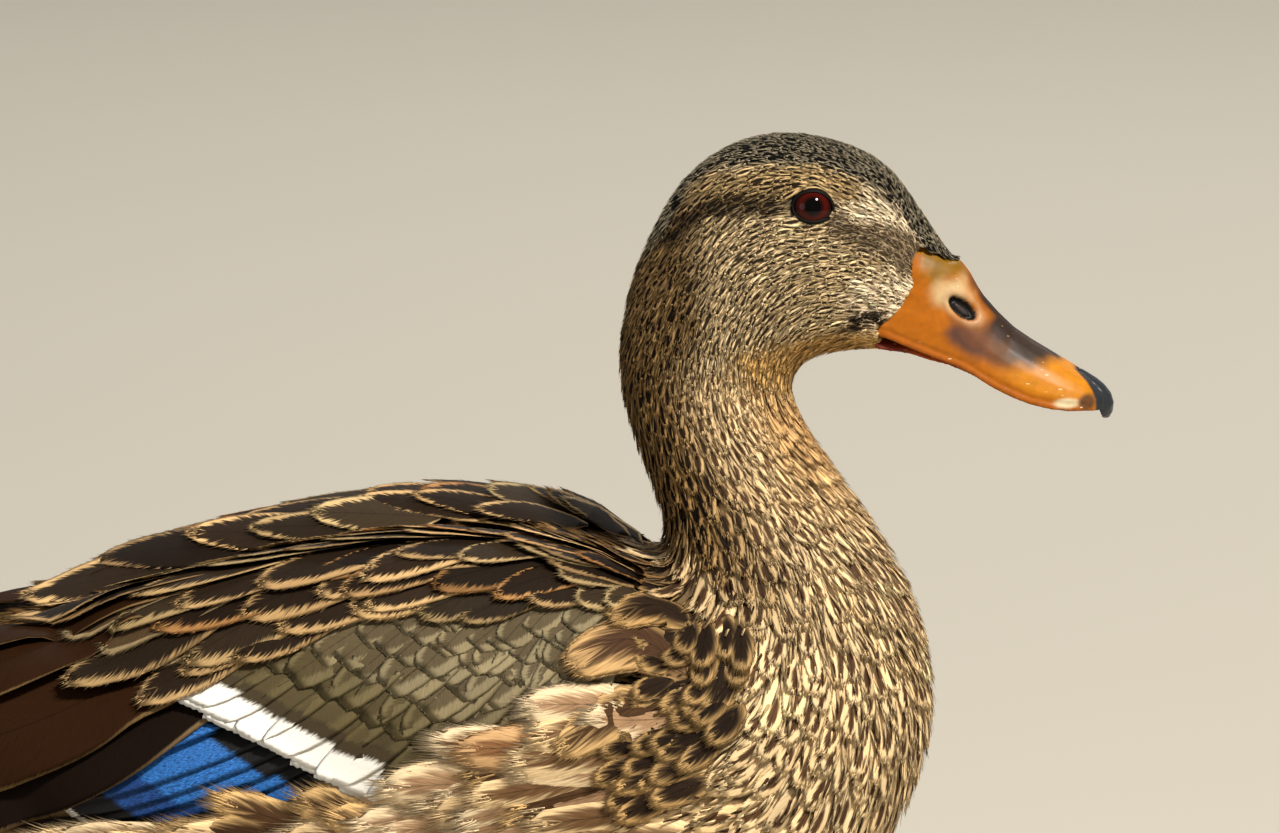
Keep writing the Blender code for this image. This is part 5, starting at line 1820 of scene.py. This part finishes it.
@functools.cache
def bill_material():
    """Soft bill skin over horn: satin, with worn pale scratches and specks."""
    material, colour = tinted("bill skin", 420.0, 0.12, HORN | {"Roughness": 0.5, "Coat Weight": 0.03})
    tree = material.node_tree
    place = add(tree, "TexCoord").outputs["Object"]
    stretch = add(tree, "Mapping", {
        0: place, "Rotation": (0.0, 0.6, 0.0), "Scale": (260.0, 700.0, 900.0),
    })
    cells = add(tree, "TexVoronoi", {"Vector": stretch, "Scale": 1.0}).outputs["Distance"]
    specks = add(tree, "MapRange", {0: cells, 1: 0.16, 2: 0.10}, interpolation_type="SMOOTHSTEP")
    patches = add(tree, "TexNoise", {"Vector": place, "Scale": 160.0, "Detail": 1.0})
    patches = add(tree, "MapRange", {0: patches, 1: 0.56, 2: 0.62, 3: 0.0, 4: 0.55})
    share = add(tree, "Math", {0: specks, 1: patches}, operation="MULTIPLY")
    mixed = add(tree, "Mix", {0: share, 6: colour.outputs[0], 7: rgba("#F0DDB8")}, data_type="RGBA")
    wire(tree, tree.nodes["Principled BSDF"], {"Base Color": mixed.outputs[2]})
    return material


def nail_material():
    """The bill's hard tip: slate horn, a little glossy."""
    gloss = HORN | {"Roughness": 0.34, "Coat Weight": 0.2}
    return tinted("nail horn", 700.0, 0.10, gloss, spread=(0.75, 1.2))[0]


# ---- legs


@functools.cache
def leather_material(scales, worn_scales):
    """Scaly leg skin: small flat scales with darker joints."""
    material, tree, shader = new_material("leg scales")
    place = add(tree, "TexCoord").outputs["Object"]
    cells = add(tree, "TexVoronoi", {"Vector": place, "Scale": 620.0}, feature="DISTANCE_TO_EDGE")
    joints = add(tree, "MapRange", {0: cells.outputs["Distance"], 1: 0.0, 2: 0.16},
                 interpolation_type="SMOOTHSTEP")
    wear = add(tree, "TexNoise", {"Vector": place, "Scale": 90.0, "Detail": 3.0})
    tone = add(tree, "Mix", {0: wear, 6: rgba(worn_scales), 7: rgba(scales)}, data_type="RGBA")
    colour = add(tree, "Mix", {0: joints, 6: rgba("#7E3A14"), 7: tone.outputs[2]}, data_type="RGBA")
    relief = add(tree, "Bump", {"Height": joints, "Strength": 0.6, "Distance": 0.25 * MM})
    wire(tree, shader, {"Base Color": colour.outputs[2], "Normal": relief, "Roughness": 0.5})
    return material


@functools.cache
def claw_material():
    """Dark, blunt, worn claw horn."""
    gloss = HORN | {"Roughness": 0.4, "Coat Weight": 0.0}
    return tinted("claw horn", 900.0, 0.05, gloss, spread=(0.7, 1.2))[0]


def make_legs():
    nodes, legs = frame["nodes"], bpy.context.scene.hen_legs
    skin = leather_material(tuple(legs.scales), tuple(legs.worn_scales))
    for word in SIDES:
        foot = smooth_copy(f"leg_{word}", [nodes[f"foot_{word}"].data], 0.55, 3, skin)
        points = mesh_points(foot.data)
        points[:, 2] = np.maximum(points[:, 2], 0.0)
        set_points(foot.data, points)
        place_piece(foot, "leg_skin", f"foot_{word}")
        names = [f"claw_{word}_{end}" for end in (1, 2, 3, "hind")]
        horns = [nodes[name].data for name in names]
        claws = smooth_copy(f"claws_{word}", horns, 0.3, 2, claw_material())
        add_vector(claws.data, "tint", np.tile(legs.claws, (len(claws.data.vertices), 1)))
        place_piece(claws, "claw", *names)


def make_thigh_coat():
    for word, side in SIDES.items():
        chart = thigh_map(word)
        rng = np.random.default_rng(700 + side)
        step, turn = chart.scatter(np.full((chart.steps, chart.turns), 0.075), rng)
        vanes, long, wide = coat_vanes(chart, step, turn, 5, 5, rng, loose=0.2, fray=0.6)
        looks = Looks(len(step), "thigh")
        looks.vary(rng, 0.14, 0.03)
        coat = Coat()
        coat.add(vanes, looks, chart.share(step, turn), np.stack([long, 0.5 * wide], axis=1), rng)
        place_piece(coat.finish(f"feathers_thigh_{word}", contour_material()), "plumage")


# ---- the stage


CAMERA_TARGET = (0.0899, 0.0, 0.1841)
LIGHTS = [  # name, place, diameter, tint
    ("key", (1.0, -1.2, 2.0), 0.35, (1.0, 0.94, 0.84)),
    ("fill", (-1.8, -1.6, 0.8), 1.4, (0.95, 0.97, 1.0)),
    ("rim", (0.4, 1.8, 1.5), 1.0, (1.0, 0.97, 0.92)),
]


def face(obj, target):
    """Turns a lamp or a camera to a point, with its top up."""
    obj.rotation_mode = "QUATERNION"
    obj.rotation_quaternion = (target - obj.location).to_track_quat("-Z", "Y")
    bpy.context.scene.collection.objects.link(obj)


def make_stage():
    """A pale flat floor, soft studio light and the camera."""
    stage = bpy.context.scene.hen_stage
    paint, tree, shader = new_material("pale matt paint")
    place = add(tree, "TexCoord").outputs["Object"]
    unevenness = add(tree, "TexNoise", {"Vector": place, "Scale": 3.0})
    tone = add(tree, "MapRange", {0: unevenness, 3: 0.97, 4: 1.0})
    colour = add(tree, "VectorMath", {0: tuple(stage.floor), 3: tone}, operation="SCALE")
    wire(tree, shader, {"Base Color": colour, "Roughness": 0.9})
    bm = bmesh.new()
    bmesh.ops.create_grid(bm, x_segments=1, y_segments=1, size=8.0)
    bmesh_object("floor", bm, paint)

    world = bpy.data.worlds.new("studio")
    bpy.context.scene.world = world
    world.use_nodes = True
    sky = world.node_tree.nodes["Background"]
    wire(world.node_tree, sky, {"Color": (1.0, 0.97, 0.93, 1.0), "Strength": stage.sky})

    target = Vector(CAMERA_TARGET)
    for name, place, size, tint in LIGHTS:
        data = bpy.data.lights.new(name, "AREA")
        data.shape, data.size = "DISK", size
        data.energy, data.color = getattr(stage, name), tint
        lamp = bpy.data.objects.new(name, data)
        lamp.location = place
        face(lamp, target)

    data = bpy.data.cameras.new("camera")
    data.sensor_width = 36.0
    data.lens = data.sensor_width * stage.distance / stage.view_width
    camera = bpy.data.objects.new("camera", data)
    tilt = stage.elevation
    camera.location = target + Vector((0.0, -math.cos(tilt), math.sin(tilt))) * stage.distance
    face(camera, target)
    bpy.context.scene.camera = camera
    bpy.context.scene.view_settings.view_transform = "Standard"


# ---- operators


def on_both_sides(make):
    for word, side in SIDES.items():
        make(word, side)


class AddSkin(bpy.types.Operator):
    """Adds the one skin of the trunk, neck, head and thighs."""

    bl_idname = "hen.add_skin"
    bl_label = "Skin"

    def execute(self, context):
        make_skin()
        return {"FINISHED"}


class AddContourCoat(bpy.types.Operator):
    """Adds the contour feathers of the body, neck, head and shins, and their loose barbs."""

    bl_idname = "hen.add_contour_coat"
    bl_label = "Contour feathers"

    def execute(self, context):
        make_contour_coat()
        make_thigh_coat()
        make_wisps()
        return {"FINISHED"}


class AddScapulars(bpy.types.Operator):
    """Adds the scapulars, which cover the top of each folded wing."""

    bl_idname = "hen.add_scapulars"
    bl_label = "Scapulars"

    def execute(self, context):
        on_both_sides(make_scapulars)
        return {"FINISHED"}


class AddCoverts(bpy.types.Operator):
    """Adds the wing coverts, the lowest of which carry the white bar."""

    bl_idname = "hen.add_coverts"
    bl_label = "Coverts"

    def execute(self, context):
        on_both_sides(make_coverts)
        return {"FINISHED"}


class AddSecondaries(bpy.types.Operator):
    """Adds the secondaries, which carry the blue patch."""

    bl_idname = "hen.add_secondaries"
    bl_label = "Secondaries"

    def execute(self, context):
        on_both_sides(make_secondaries)
        return {"FINISHED"}


class AddLongFeathers(bpy.types.Operator):
    """Adds the tertials and the primaries."""

    bl_idname = "hen.add_long_feathers"
    bl_label = "Tertials and primaries"

    def execute(self, context):
        on_both_sides(make_long_feathers)
        return {"FINISHED"}


class AddFlanks(bpy.types.Operator):
    """Adds the loose side feathers that the wings are tucked under."""

    bl_idname = "hen.add_flanks"
    bl_label = "Flank feathers"

    def execute(self, context):
        on_both_sides(make_flank)
        return {"FINISHED"}


class AddTail(bpy.types.Operator):
    """Adds the tail's fan of feathers."""

    bl_idname = "hen.add_tail"
    bl_label = "Tail"

    def execute(self, context):
        make_tail()
        return {"FINISHED"}


class AddEyes(bpy.types.Operator):
    """Adds the eyeballs and their lids."""

    bl_idname = "hen.add_eyes"
    bl_label = "Eyes"

    def execute(self, context):
        make_eyes()
        return {"FINISHED"}


class AddBill(bpy.types.Operator):
    """Adds the upper bill, the lower bill and the nail."""

    bl_idname = "hen.add_bill"
    bl_label = "Bill"

    def execute(self, context):
        make_bill()
        return {"FINISHED"}


class AddLegs(bpy.types.Operator):
    """Adds the scaly legs, the webbed feet and the claws."""

    bl_idname = "hen.add_legs"
    bl_label = "Legs"

    def execute(self, context):
        make_legs()
        return {"FINISHED"}


class AddStage(bpy.types.Operator):
    """Adds the floor, the lights and the camera."""

    bl_idname = "hen.add_stage"
    bl_label = "Stage"

    def execute(self, context):
        make_stage()
        return {"FINISHED"}


OPERATORS = [
    AddSkin, AddScapulars, AddCoverts, AddSecondaries, AddLongFeathers, AddFlanks, AddTail,
    AddEyes, AddBill, AddLegs, AddContourCoat, AddStage,
]


class HenPanel(bpy.types.Panel):
    """The hen's settings, and a button for each group of pieces."""

    bl_idname = "VIEW3D_PT_hen"
    bl_label = "Mallard hen"
    bl_space_type = "VIEW_3D"
    bl_region_type = "UI"
    bl_category = "Mallard hen"

    def draw(self, context):
        for attribute, group in GROUPS.items():
            box = self.layout.box()
            for name in group.__annotations__:
                box.prop(getattr(context.scene, attribute), name)
        for operator in OPERATORS:
            self.layout.operator(operator.bl_idname)


CLASSES = [*GROUPS.values(), *OPERATORS, HenPanel]


def register():
    for cls in CLASSES:
        bpy.utils.register_class(cls)
    for attribute, group in GROUPS.items():
        setattr(bpy.types.Scene, attribute, bpy.props.PointerProperty(type=group))


def unregister():
    for attribute in GROUPS:
        delattr(bpy.types.Scene, attribute)
    for cls in reversed(CLASSES):
        bpy.utils.unregister_class(cls)


def main():
    register()
    for operator in OPERATORS:
        getattr(bpy.ops.hen, operator.bl_idname.split(".")[1])()


if __name__ == "__main__":
    main()
